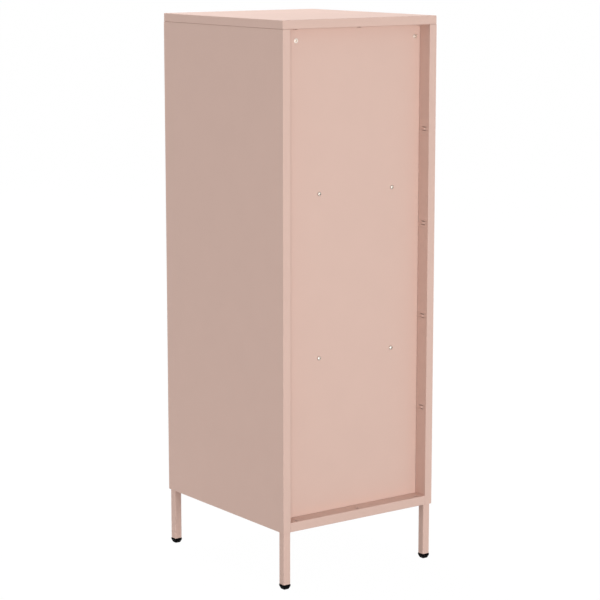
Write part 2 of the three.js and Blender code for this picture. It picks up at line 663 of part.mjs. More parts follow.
// A bow pull: an upright bar on two posts, with its screws going through the door.
function doorPull(level) {
  const z = lockHeight(level) + PULL_ABOVE_LOCK;
  const half = PULL_LENGTH / 2;
  const across = [LOCK_X - PULL_BAR / 2, LOCK_X + PULL_BAR / 2];
  const front = -HALF_DEPTH - PULL_REACH;
  const seat = -HALF_DEPTH - SEAT;
  const bow = without(box(across, [front, seat], [z - half, z + half]), [
    box([across[0] - SHEET, across[1] + SHEET], [front + PULL_BAR, seat + SHEET],
      [z - half + PULL_BAR, z + half - PULL_BAR])]);
  const screws = pullPosts.map((offset) => roundAlongY(
    PULL_SCREW, LOCK_X, z + offset, [seat - SHEET, -HALF_DEPTH + 4 * SHEET], SMALL_ROUND_STEPS));
  return joined([bow, ...screws]);
}

// The fixed barrel of a lock: a head on the door's face and a flatted body through it.
function lockBarrel(level) {
  const z = lockHeight(level);
  const head = roundAlongY(LOCK_HEAD, LOCK_X, z, [LOCK_HEAD_FRONT, -HALF_DEPTH - SEAT]);
  const bore = roundAlongY(PLUG + 2 * FREE, LOCK_X, z, [LOCK_HEAD_FRONT - SHEET, CAM_FRONT]);
  return without(head.add(lockBodyShape(LOCK_X, z, 0)), [bore]);
}

function hexagon(acrossFlats) {
  const radius = acrossFlats / Math.sqrt(3);
  return new THREE.Shape(Array.from({ length: 6 }, (_, i) => {
    const angle = (i * Math.PI) / 3;
    return new THREE.Vector2(radius * Math.cos(angle), radius * Math.sin(angle));
  }));
}

function lockNut(level) {
  const z = lockHeight(level);
  const front = -HALF_DEPTH + SHEET + SEAT;
  const nut = plate(hexagon(LOCK_NUT), [front, front + LOCK_NUT_THICKNESS])
    .translate([LOCK_X, 0, z]);
  return without(nut, [lockBodyShape(LOCK_X, z, FREE)]);
}

// The plug that the key turns: round in the barrel, square through the cam, then staked.
function lockPlug(level) {
  const z = lockHeight(level);
  const camBack = CAM_FRONT + CAM_THICKNESS;
  const half = CAM_SQUARE / 2;
  const body = joined([
    roundAlongY(PLUG, LOCK_X, z, [LOCK_HEAD_FRONT, CAM_FRONT - SEAT]),
    box([LOCK_X - half, LOCK_X + half], [CAM_FRONT - SHEET, camBack + 2 * SEAT], [z - half, z + half]),
    roundAlongY(CAM_HEAD, LOCK_X, z, [camBack + SEAT, camBack + SEAT + SHEET], SMALL_ROUND_STEPS),
  ]);
  const keyway = box(
    [LOCK_X - KEY_THICKNESS / 2 - FREE, LOCK_X + KEY_THICKNESS / 2 + FREE],
    [LOCK_HEAD_FRONT - SHEET, LOCK_HEAD_FRONT + KEY_BLADE_LENGTH + FREE],
    [z - KEY_BLADE / 2 - FREE, z + KEY_BLADE / 2 + FREE]);
  return without(body, [keyway]);
}

// The cam, hanging down when the door is unlocked: a quarter turn takes it behind the stop lip.
function lockCam(level) {
  const half = CAM_WIDTH / 2;
  const hole = CAM_SQUARE / 2 + FREE;
  const outline = new THREE.Shape();
  outline.absarc(0, 0, half, 0, Math.PI, false);
  outline.lineTo(-half, -CAM_LENGTH);
  outline.lineTo(half, -CAM_LENGTH);
  outline.closePath();
  outline.holes.push(new THREE.Path([
    [-hole, -hole], [-hole, hole], [hole, hole], [hole, -hole],
  ].map(([x, z]) => new THREE.Vector2(x, z))));
  return plate(outline, [CAM_FRONT, CAM_FRONT + CAM_THICKNESS])
    .translate([LOCK_X, 0, lockHeight(level)]);
}

// A flat key in its keyway, with a hole in its bow. Its outline is drawn in Y and Z.
function key(level) {
  const radius = KEY_BOW / 2;
  const shoulder = Math.asin(KEY_BLADE / KEY_BOW);
  const bowCentre = LOCK_HEAD_FRONT - KEY_STANDOFF - radius * Math.cos(shoulder);
  const outline = new THREE.Shape();
  outline.absarc(bowCentre, 0, radius, shoulder, 2 * Math.PI - shoulder, false);
  outline.lineTo(LOCK_HEAD_FRONT + KEY_BLADE_LENGTH, -KEY_BLADE / 2);
  outline.lineTo(LOCK_HEAD_FRONT + KEY_BLADE_LENGTH, KEY_BLADE / 2);
  outline.closePath();
  const ring = new THREE.Path();
  ring.absarc(bowCentre - radius / 2, 0, KEY_HOLE / 2, 0, 2 * Math.PI, true);
  outline.holes.push(ring);
  return acrossCabinet(outline, [-KEY_THICKNESS / 2, KEY_THICKNESS / 2])
    .translate([LOCK_X, 0, lockHeight(level)]);
}

// A rubber bumper on the stop lip, on the free side of a door.
function doorBumper(level) {
  const x = -(MOUTH_HALF - EDGE_LIP / 2);
  return roundAlongY(BUMPER, x, doorBottom(level) + BUMPER_INSET,
    [DOOR_BACK + SEAT, FRONT_STOP - SHEET - SEAT], SMALL_ROUND_STEPS);
}

function addDoor(level) {
  const name = COMPARTMENT_NAMES[level];
  add(`${name}_door`, doorPan(level), paint());
  add(`${name}_door_stiffener`, doorStiffener(level), paint());
  addTurned(`${name}_hinge_pin_top`, hingePin(), zinc(), (mesh) => {
    mesh.rotation.x = Math.PI / 2;
    mesh.position.set(PIN_X, PIN_Y, doorBottom(level) + DOOR_HEIGHT);
  });
  addTurned(`${name}_hinge_pin_bottom`, hingePin(), zinc(), (mesh) => {
    mesh.rotation.x = -Math.PI / 2;
    mesh.position.set(PIN_X, PIN_Y, doorBottom(level));
  });
  add(`${name}_pull`, doorPull(level), paint());
  add(`${name}_lock_barrel`, lockBarrel(level), chrome());
  add(`${name}_lock_nut`, lockNut(level), zinc());
  add(`${name}_lock_plug`, lockPlug(level), chrome());
  add(`${name}_lock_cam`, lockCam(level), zinc());
  add(`${name}_key`, key(level), chrome());
  add(`${name}_bumper`, doorBumper(level), rubber());
}

addCase();
addLegs();
for (let level = 0; level < COMPARTMENTS; level += 1) {
  addDoor(level);
}

export default cabinet;
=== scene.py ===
"""Looks of a folded-steel locker cabinet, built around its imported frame.

Each visible piece is modelled in metres where its node lies in the frame, takes that
node's place, and rides on the node's body. Folded sheet starts as a block whose open side
is taken away; its bends are bevelled and the sheet is then given its thickness.
"""

import logging
import math
from collections.abc import Callable, Iterable, Iterator, Sequence
from contextlib import contextmanager
from dataclasses import dataclass, field
from enum import Enum

import bpy
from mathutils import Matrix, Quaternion, Vector


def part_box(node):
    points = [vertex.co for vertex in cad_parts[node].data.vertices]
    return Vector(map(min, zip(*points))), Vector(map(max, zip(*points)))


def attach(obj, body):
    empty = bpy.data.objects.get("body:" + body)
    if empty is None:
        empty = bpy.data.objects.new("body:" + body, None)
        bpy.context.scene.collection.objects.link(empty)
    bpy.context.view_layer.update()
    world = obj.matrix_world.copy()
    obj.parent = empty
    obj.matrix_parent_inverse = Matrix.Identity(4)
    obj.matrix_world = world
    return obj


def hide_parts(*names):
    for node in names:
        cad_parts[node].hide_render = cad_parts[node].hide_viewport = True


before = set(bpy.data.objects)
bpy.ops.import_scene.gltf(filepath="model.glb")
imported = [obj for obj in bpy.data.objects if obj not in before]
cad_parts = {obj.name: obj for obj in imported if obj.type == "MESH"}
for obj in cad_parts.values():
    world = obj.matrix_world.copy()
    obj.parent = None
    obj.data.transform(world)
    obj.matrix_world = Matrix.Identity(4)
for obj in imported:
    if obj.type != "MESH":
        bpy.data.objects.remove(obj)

LOG = logging.getLogger("locker_cabinet")
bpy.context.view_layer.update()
WHITE = (1, 1, 1, 1)
PINK = (0.695, 0.489, 0.417)

Piece = bpy.types.Object
Range = tuple[float, float]      # lowest and highest
Layer = tuple[float, float]      # a pattern's width and its detail
Triple = tuple[float, float, float]
Colour = tuple[float, float, float, float]       # with alpha
Ring = tuple[float, float]       # a radius, and a distance along the axis
Pick = Callable[[Vector, Vector], bool]

MM = 0.001
SHEET = 0.8 * MM
BEND = 1.3 * MM          # outside radius of a fold
SEAT = 0.3 * MM          # gap between pieces that lie against each other
PAST = 1 * MM            # how far cutters and joined shapes reach past a face
PIN_HOLE = 4.6 * MM
TOUCH = 1e-6             # two places closer than this are one
ALIGNED = 0.999          # cosine of the widest angle between two directions that count as one
FLAT_ABOVE = 35          # bends sharper than this, in degrees, aren't shaded smoothly
RIGHT, BACK, UP = Vector((1, 0, 0)), Vector((0, 1, 0)), Vector((0, 0, 1))
LEFT, FRONT, DOWN = -RIGHT, -BACK, -UP

LEVELS = ("lower", "middle", "upper")    # of the compartments
CORNERS = ("front_left", "front_right", "rear_left", "rear_right")
HANDS = ("left", "right")
SHELVES = ("middle_shelf", "upper_shelf")
SCREWS = tuple(f"{shelf}_screw_{hand}" for shelf in SHELVES for hand in HANDS)
ANCHORS = tuple(f"wall_anchor_{hand}" for hand in HANDS)


class Slot(Enum):
    """The record's material slots."""

    PAINT = "powder_coat"
    ZINC = "zinc"
    CHROME = "chrome"
    PLASTIC = "black_plastic"
    RUBBER = "rubber"


# ---- Shading ----


class Wire:
    """A number that varies over a surface: arithmetic on it adds Math nodes."""

    def __init__(self, recipe: "Recipe", socket: bpy.types.NodeSocket) -> None:
        """Wraps an output socket of the recipe's node tree."""
        self.recipe = recipe
        self.socket = socket

    def _maths(self, operation: str, other: "Wire | float") -> "Wire":
        """The result of one Math node."""
        node = self.recipe.node("ShaderNodeMath", {"operation": operation}, {0: self, 1: other})
        return Wire(self.recipe, node.outputs[0])

    def __add__(self, other: "Wire | float") -> "Wire":
        """Sum."""
        return self._maths("ADD", other)

    __radd__ = __add__

    def __mul__(self, other: "Wire | float") -> "Wire":
        """Product."""
        return self._maths("MULTIPLY", other)

    __rmul__ = __mul__

    def at_least(self, other: "Wire | float") -> "Wire":
        """The larger of two values."""
        return self._maths("MAXIMUM", other)


class Recipe:
    """A node tree while it is being put together."""

    def __init__(self, owner: bpy.types.Material | bpy.types.World) -> None:
        """Empties the owner's node tree.

        Args:
            owner: the material or world that the tree belongs to.
        """
        owner.use_nodes = True
        self.owner = owner
        self.tree = owner.node_tree
        self.tree.nodes.clear()

    def node(self, kind: str, settings: dict[str, object] | None = None,
             inputs: dict[int | str, object] | None = None) -> bpy.types.Node:
        """Adds a node.

        Args:
            kind: the node's type.
            settings: attributes set on the node before its inputs.
            inputs: a value, Wire or socket for each input, by index or name.

        Returns:
            The node.
        """
        node = self.tree.nodes.new(kind)
        for name, value in (settings or {}).items():
            setattr(node, name, value)
        for key, value in (inputs or {}).items():
            if isinstance(value, Wire):
                value = value.socket
            if isinstance(value, bpy.types.NodeSocket):
                self.tree.links.new(value, node.inputs[key])
            else:
                node.inputs[key].default_value = value
        return node

    def noise(self, size: float, detail: float = 2.0, stretch: Triple = (1, 1, 1)) -> Wire:
        """A cloudy pattern about 0.5.

        Args:
            size: width of its features, in metres.
            detail: how much finer pattern is laid over it.
            stretch: scale along each axis.

        Returns:
            The pattern, from 0 to 1.
        """
        place = self.node("ShaderNodeTexCoord").outputs["Object"]
        mapping = self.node("ShaderNodeMapping", inputs={"Vector": place, "Scale": stretch})
        node = self.node("ShaderNodeTexNoise", inputs={
            "Vector": mapping.outputs["Vector"], "Scale": 1.0 / size, "Detail": detail})
        return Wire(self, node.outputs["Fac"])

    def blend(self, share: Wire, low: Colour, high: Colour) -> bpy.types.NodeSocket:
        """A colour between two others, where share goes from 0 to 1."""
        node = self.node("ShaderNodeMix", {"data_type": "RGBA"}, {0: share, 6: low, 7: high})
        return node.outputs[2]

    def bump(self, height: Wire) -> bpy.types.NodeSocket:
        """A surface normal from a height in metres."""
        node = self.node("ShaderNodeBump", inputs={"Strength": 1.0, "Distance": 1.0, "Height": height})
        return node.outputs["Normal"]

    def surface(self, **inputs: object) -> bpy.types.Material:
        """Ends the tree with a Principled shader.

        Args:
            **inputs: the shader's sockets, named with underscores for spaces.

        Returns:
            The material.
        """
        named = {name.replace("_", " "): value for name, value in inputs.items()}
        shader = self.node("ShaderNodeBsdfPrincipled", inputs=named)
        self.node("ShaderNodeOutputMaterial", inputs={"Surface": shader.outputs[0]})
        return self.owner

    def two_looks(self, output: str, share: Wire, lit: bpy.types.Node, seen: bpy.types.Node) -> None:
        """Ends the tree with one shader for light and another for what is seen straight."""
        mix = self.node("ShaderNodeMixShader", inputs={0: share, 1: lit.outputs[0], 2: seen.outputs[0]})
        self.node(output, inputs={"Surface": mix.outputs[0]})


def shade(colour: Triple, factor: float) -> Colour:
    """A colour made lighter or darker, with an alpha of 1."""
    return (*(channel * factor for channel in colour), 1.0)


def grained(colour: Triple) -> tuple[Colour, Colour]:
    """The dark and the light tone of a grained colour."""
    return shade(colour, 0.8), shade(colour, 1.25)


@dataclass(frozen=True)
class Finish:
    """A surface of two tones in soft clouds, unevenly glossy, with a fine relief."""

    name: str
    dark: Colour
    light: Colour
    roughness: Range
    clouds: Layer                    # of the two tones
    patches: Layer                   # of the roughness
    relief: tuple[Triple, ...]       # width, detail and height of each layer
    stretch: Triple = (1, 1, 1)      # scale of the relief along each axis
    gloss: float = 0.5               # specular level
    metallic: float = 0.0

    def material(self) -> bpy.types.Material:
        """Builds the material.

        Returns:
            The material.
        """
        recipe = Recipe(bpy.data.materials.new(self.name))
        low, high = self.roughness
        layers = [recipe.noise(width, detail, self.stretch) * height
                  for width, detail, height in self.relief]
        return recipe.surface(
            Base_Color=recipe.blend(recipe.noise(*self.clouds), self.dark, self.light),
            Metallic=self.metallic,
            Roughness=recipe.noise(*self.patches) * (high - low) + low,
            Specular_IOR_Level=self.gloss,
            Normal=recipe.bump(sum(layers[1:], layers[0])))


@dataclass(frozen=True)
class PowderCoat(Finish):
    """Satin powder coat: an even colour over orange peel and grit, on slightly wavy sheet."""

    name: str = "powder_coat_satin"
    dark: Colour = shade(PINK, 0.982)
    light: Colour = shade(PINK, 1.018)
    roughness: Range = (0.48, 0.58)
    clouds: Layer = (60 * MM, 3)
    patches: Layer = (5.2 * MM, 2)
    relief: tuple[Triple, ...] = (
        (1.3 * MM, 1, 0.045 * MM), (0.28 * MM, 1, 0.006 * MM), (160 * MM, 0, 0.09 * MM))
    gloss: float = 0.25


@dataclass(frozen=True)
class Zinc(Finish):
    """Zinc on steel: grey metal with a faint bloom and fine marks."""

    roughness: Range = (0.26, 0.44)
    clouds: Layer = (2.5 * MM, 3)
    patches: Layer = (1.25 * MM, 3)
    relief: tuple[Triple, ...] = ((0.25 * MM, 2, 0.004 * MM),)
    stretch: Triple = (1, 1, 0.2)
    metallic: float = 1.0


@dataclass(frozen=True)
class Chrome(Finish):
    """Polished chrome with faint polishing lines."""

    roughness: Range = (0.07, 0.17)
    clouds: Layer = (6 * MM, 3)
    patches: Layer = (3 * MM, 3)
    relief: tuple[Triple, ...] = ((0.3 * MM, 2, 0.0008 * MM),)
    stretch: Triple = (0.15, 1, 1)
    metallic: float = 1.0


@dataclass(frozen=True)
class Moulding(Finish):
    """Plastic or rubber with a fine moulded grain."""

    roughness: Range = (0.38, 0.55)
    clouds: Layer = (0.35 * MM, 2)
    patches: Layer = (1.05 * MM, 2)
    relief: tuple[Triple, ...] = ((0.35 * MM, 2, 0.012 * MM),)
    gloss: float = 0.012


STEEL_GREY = (0.56, 0.57, 0.58, 1)
PLASTIC_BLACK, RUBBER_BLACK = (0.004, 0.004, 0.0045), (0.022, 0.022, 0.023)
FINISHES: dict[Slot, bpy.types.Material] = {
    Slot.PAINT: PowderCoat().material(),
    Slot.ZINC: Zinc("zinc_plate", (0.50, 0.49, 0.45, 1), (0.66, 0.66, 0.65, 1)).material(),
    Slot.CHROME: Chrome("chrome_polished", STEEL_GREY, STEEL_GREY).material(),
    Slot.PLASTIC: Moulding("glide_plastic", *grained(PLASTIC_BLACK)).material(),
    Slot.RUBBER: Moulding("bumper_rubber", *grained(RUBBER_BLACK), roughness=(0.7, 0.9)).material(),
}
BRIGHT_ZINC = Zinc("zinc_plate_bright", (0.76, 0.68, 0.61, 1), (0.86, 0.78, 0.71, 1)).material()
DULL_ZINC = Zinc("zinc_plate_dull", (0.48, 0.43, 0.38, 1), (0.66, 0.60, 0.54, 1),
                 roughness=(0.34, 0.46)).material()


# ---- Modelling ----


def take(*pieces: Piece) -> None:
    """Selects only these pieces, the first one active.

    Args:
        *pieces: the pieces.
    """
    bpy.ops.object.select_all(action="DESELECT")
    for piece in pieces:
        piece.select_set(True)
    bpy.context.view_layer.objects.active = pieces[0]


def settle(name: str) -> Piece:
    """Names the new active piece and moves its place, turn and size into its mesh.

    Args:
        name: the piece's name.

    Returns:
        The piece.
    """
    piece = bpy.context.object
    piece.name = name
    piece.data.name = name
    bpy.ops.object.transform_apply(location=True, rotation=True, scale=True)
    return piece


def block(name: str, low: Iterable[float], high: Iterable[float]) -> Piece:
    """Adds a block between two corners.

    Args:
        name: the piece's name.
        low: lowest corner.
        high: highest corner.

    Returns:
        The piece.
    """
    low_corner, high_corner = Vector(low), Vector(high)
    bpy.ops.object.select_all(action="DESELECT")
    bpy.ops.mesh.primitive_cube_add(
        size=1, location=(low_corner + high_corner) / 2, scale=high_corner - low_corner)
    return settle(name)


def block_about(name: str, middle: Vector, size: Iterable[float]) -> Piece:
    """Adds a block of a size about its middle."""
    half = Vector(size) / 2
    return block(name, middle - half, middle + half)


def box_size(*sizes: tuple[Vector, float]) -> Vector:
    """The size of a box along x, y and z, from its size along three square directions."""
    return sum((Vector(abs(part) * size for part in way) for way, size in sizes), Vector((0, 0, 0)))


def draw_out(move: Vector) -> None:
    """Extrudes what is selected."""
    bpy.ops.mesh.extrude_region_move(TRANSFORM_OT_translate={"value": move})


def turned(name: str, foot: Vector, way: Vector, rings: Iterable[Ring],
           sides: int = 48, twist: float = 0) -> Piece:
    """Draws a round piece out of a disc, ring by ring.

    Args:
        name: the piece's name.
        foot: the point that the rings' distances start from.
        way: the direction of its axis.
        rings: radius of each ring and its distance from the foot.
        sides: the number of its flat sides.
        twist: how far the disc is turned about the axis, in radians.

    Returns:
        The piece.
    """
    (radius, along), *others = rings
    at = foot + way * along
    bpy.ops.object.select_all(action="DESELECT")
    bpy.ops.mesh.primitive_circle_add(
        vertices=sides, radius=radius, fill_type="NGON", location=at,
        rotation=(UP.rotation_difference(way) @ Quaternion(UP, twist)).to_euler())
    piece = settle(name)
    with shaping(piece, faces=lambda *_: True):
        for next_radius, next_along in others:
            step = way * (next_along - along)
            at = at + step
            draw_out(step)
            bpy.ops.transform.resize(value=(next_radius / radius,) * 3, center_override=at)
            radius, along = next_radius, next_along
        bpy.ops.mesh.select_all(action="SELECT")
        bpy.ops.mesh.normals_make_consistent(inside=False)
    return piece


def rod(name: str, foot: Vector, way: Vector, width: float, length: float,
        sides: int = 48) -> Piece:
    """Adds a round rod that starts at its foot."""
    return turned(name, foot, way, [(width / 2, 0), (width / 2, length)], sides)


def scaled(shape: Iterable[Ring], radius: float, length: float) -> list[Ring]:
    """Rings from their shares of a radius and of a length."""
    return [(share * radius, along * length) for share, along in shape]


def threads(radius: float, pitch: float, depth: float, start: float, stop: float) -> list[Ring]:
    """The rings of a stretch of thread.

    Args:
        radius: outside radius.
        pitch: distance from crest to crest.
        depth: how far the grooves go in.
        start: where the first crest is.
        stop: the last place that a crest may be.

    Returns:
        A radius and a distance for each ring.
    """
    rings = [(radius, start)]
    for step in range(int((stop - start) / pitch)):
        rings += [(radius - depth, start + (step + 0.5) * pitch), (radius, start + (step + 1) * pitch)]
    return rings


def flatted_rod(name: str, foot: Vector, length: float, across: float, flats: float,
                rings: Iterable[Ring] = ()) -> Piece:
    """Adds a rod towards the rear with two upright flats.

    Args:
        name: the piece's name.
        foot: the middle of its front end.
        length: its length.
        across: its diameter.
        flats: the distance between the flats.
        rings: rings between its two ends.

    Returns:
        The piece.
    """
    piece = turned(name, foot, BACK, [(across / 2, 0), *rings, (across / 2, length)])
    for way in (LEFT, RIGHT):
        at = foot + way * (flats / 2 + across / 4) + BACK * length / 2
        cut(piece, block_about("cutter", at, (across / 2, 2 * length, 2 * across)))
    return piece


@contextmanager
def shaping(piece: Piece, faces: Pick | None = None,
            edges: Pick | None = None) -> Iterator[None]:
    """Opens a piece in edit mode with some of it selected, and closes it afterwards.

    Args:
        piece: the piece.
        faces: says which faces are selected, from their centre and normal.
        edges: says which edges are selected, from their two ends.

    Yields:
        Nothing.
    """
    take(piece)
    bpy.ops.object.mode_set(mode="EDIT")
    bpy.ops.mesh.select_mode(type="FACE" if faces else "EDGE")
    bpy.ops.mesh.select_all(action="DESELECT")
    bpy.ops.object.mode_set(mode="OBJECT")
    mesh = piece.data
    if faces:
        for polygon in mesh.polygons:
            polygon.select = faces(polygon.center, polygon.normal)
    if edges:
        for edge in mesh.edges:
            edge.select = edges(*(mesh.vertices[index].co for index in edge.vertices))
    bpy.ops.object.mode_set(mode="EDIT")
    yield
    bpy.ops.object.mode_set(mode="OBJECT")


def looks(way: Vector) -> Pick:
    """Picks the faces that look one way."""
    return lambda _, normal: normal.dot(way) > ALIGNED


def on_line(way: Vector, offset: float, other: Vector, other_offset: float) -> Pick:
    """Picks the edges that lie on two planes, each given by its normal and how far out it is."""
    return lambda *ends: all(abs(end.dot(way) - offset) < TOUCH
                             and abs(end.dot(other) - other_offset) < TOUCH for end in ends)


def open_sides(piece: Piece, *ways: Vector) -> None:
    """Takes away the sides of a block that look certain ways.

    Args:
        piece: the piece.
        *ways: the directions that the sides look in.
    """
    for way in ways:
        with shaping(piece, faces=looks(way)):
            bpy.ops.mesh.delete(type="FACE")


def open_window(piece: Piece, way: Vector, low: Iterable[float],
                high: Iterable[float]) -> None:
    """Takes a rectangle out of the side of a block that looks one way.

    Args:
        piece: the piece.
        way: the direction that the side looks in.
        low: lowest corner of the window; its place along the way doesn't matter.
        high: highest corner of the window.
    """
    low_corner, high_corner = Vector(low), Vector(high)
    axes = [axis for axis in range(3) if not way[axis]]
    for axis in axes:
        for corner in (low_corner, high_corner):
            normal = Vector(int(i == axis) for i in range(3))
            with shaping(piece, faces=looks(way)):
                bpy.ops.mesh.bisect(plane_co=corner, plane_no=normal)
    with shaping(piece, faces=lambda at, normal: looks(way)(at, normal) and all(
            low_corner[axis] < at[axis] < high_corner[axis] for axis in axes)):
        bpy.ops.mesh.delete(type="FACE")


def modify(piece: Piece, kind: str, **settings: object) -> None:
    """Adds one modifier to a piece and applies it.

    Args:
        piece: the piece.
        kind: the modifier's type.
        **settings: its attributes.
    """
    modifier = piece.modifiers.new(kind.lower(), kind)
    for name, value in settings.items():
        setattr(modifier, name, value)
    take(piece)
    bpy.ops.object.modifier_apply(modifier=modifier.name)


def soften(piece: Piece, radius: float, steps: int = 3, above: float = 50) -> None:
    """Rounds every edge that is sharper than an angle in degrees."""
    modify(piece, "BEVEL", width=radius, segments=steps, limit_method="ANGLE",
           angle_limit=math.radians(above), use_clamp_overlap=True)


def fold(piece: Piece) -> None:
    """Rounds the bends of an open block and gives it the sheet's thickness, inwards."""
    soften(piece, BEND)
    modify(piece, "SOLIDIFY", thickness=SHEET, offset=-1, use_even_offset=True)


def _combine(piece: Piece, operation: str, *others: Piece) -> None:
    """Applies one boolean with several shapes at once, and removes them.

    Args:
        piece: the piece.
        operation: the boolean's operation.
        *others: closed shapes that don't meet each other.
    """
    if len(others) > 1:
        take(*others)
        bpy.ops.object.join()
    modify(piece, "BOOLEAN", operation=operation, object=others[0], solver="EXACT")
    bpy.data.objects.remove(others[0])
    if not piece.data.polygons:
        raise ValueError(f"nothing is left of {piece.name}")


def cut(piece: Piece, *cutters: Piece) -> None:
    """Cuts closed shapes, which don't meet each other, out of a piece."""
    _combine(piece, "DIFFERENCE", *cutters)


def fuse(piece: Piece, *others: Piece) -> None:
    """Joins closed shapes, which don't meet each other, to a piece as one skin."""
    _combine(piece, "UNION", *others)


class Room:
    """The box that a node of the frame takes up."""

    def __init__(self, node: str) -> None:
        """Looks the node's box up."""
        self.low, self.high = (Vector(corner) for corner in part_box(node))

    @property
    def size(self) -> Vector:
        """Its width, depth and height."""
        return self.high - self.low

    @property
    def middle(self) -> Vector:
        """Its middle."""
        return (self.low + self.high) / 2

    def side(self, way: Vector) -> Vector:
        """The middle of the side that looks one way."""
        return Vector(high if part > 0 else low if part < 0 else (low + high) / 2
                      for part, low, high in zip(way, self.low, self.high))


def dress(piece: Piece, slot: Slot, body: str, node: str,
          finish: bpy.types.Material | None = None) -> None:
    """Gives a piece its finish, its body and the node whose place it takes.

    Args:
        piece: the piece.
        slot: the record's material slot.
        body: the body that it rides on.
        node: the node that it stands for.
        finish: its material, where it isn't the slot's usual one.
    """
    piece.data.materials.clear()
    piece.data.materials.append(finish or FINISHES[slot])
    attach(piece, body)
    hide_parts(node)
    LOG.info("%s: %d faces on %s", piece.name, len(piece.data.polygons), body)


def put_up(piece: Piece, slot: Slot, body: str, node: str,
           places: Sequence[str] = ("",), finish: bpy.types.Material | None = None) -> None:
    """Shades a piece smoothly, with its flat faces flat, and dresses it and its copies.

    Args:
        piece: the piece, at the first of its places.
        slot: the record's material slot.
        body: the body that it rides on, with {at} where each place has its own.
        node: the node that it stands for, with {at} for the place.
        places: what {at} stands for, in the names of nodes, bodies and pieces.
        finish: its material, where it isn't the slot's usual one.
    """
    take(piece)
    bpy.ops.object.shade_smooth_by_angle(angle=math.radians(FLAT_ABOVE))
    modify(piece, "WEIGHTED_NORMAL", mode="FACE_AREA", weight=50, keep_sharp=True)
    first, *others = places
    for at in others:
        move = Room(node.format(at=at)).low - Room(node.format(at=first)).low
        take(piece)
        bpy.ops.object.duplicate(linked=False)
        bpy.ops.transform.translate(value=move)
        copy = settle(piece.name.replace(first, at))
        dress(copy, slot, body.format(at=at), node.format(at=at), finish)
    dress(piece, slot, body.format(at=first), node.format(at=first), finish)


def pin_cutter(low: float, high: float, sides: int = 48) -> Piece:
    """A cutter for the hinge pins' holes in the sheets from one height to another."""
    foot = Room("lower_hinge_pin_top").middle.xy.to_3d() + UP * (low - 2 * SHEET)
    return rod("cutter", foot, UP, PIN_HOLE, high - low + 4 * SHEET, sides)


# ---- Case ----


@dataclass
class HookBridge:
    """A strip of a sheet between two slots, pushed out so that a hook can go under it."""

    length: float = 12 * MM
    width: float = 5.5 * MM
    slot: float = 1.2 * MM
    rise: float = 2.5 * MM
    ramp: float = 4.5 * MM
    bend: float = 0.6 * MM
    foot: float = 0.5                # the feet's share of the sheet's thickness

    def strip(self, at: Vector, along: Vector, out: Vector) -> Piece:
        """Bends one strip, its thinner feet inside the sheet.

        Args:
            at: the middle of the strip, on the sheet's face.
            along: the direction of its length.
            out: the direction that it is pushed in.

        Returns:
            The strip.
        """
        top = self.length - 2 * self.ramp
        size = box_size((along, top), (along.cross(out), self.width), (out, SHEET))
        piece = block_about("strip", at + out * (self.rise - SHEET / 2), size)
        thinner = Vector(1 - (1 - self.foot) * abs(part) for part in out)
        for way in (along, -along):
            foot = at + way * self.length / 2 - out * SHEET / 2
            with shaping(piece, faces=looks(way)):
                draw_out(way * self.ramp - out * self.rise)
                bpy.ops.transform.resize(value=thinner, center_override=foot)
                draw_out(way * SHEET)
        soften(piece, self.bend, steps=2, above=25)
        return piece

    def put_on(self, sheet: Piece, places: list[Vector], along: Vector, out: Vector) -> None:
        """Opens the slots in a sheet and puts the strips between them.

        Args:
            sheet: the sheet.
            places: the middle of each strip, on the sheet's face.
            along: the direction of the strips' length.
            out: the direction that they are pushed in.
        """
        across = along.cross(out)
        opening = box_size((along, self.length), (across, self.slot), (out, 4 * SHEET))
        cut(sheet, *(block_about("cutter", at + across * side * (self.width + self.slot) / 2, opening)
                     for at in places for side in (-1, 1)))
        fuse(sheet, *(self.strip(at, along, out) for at in places))


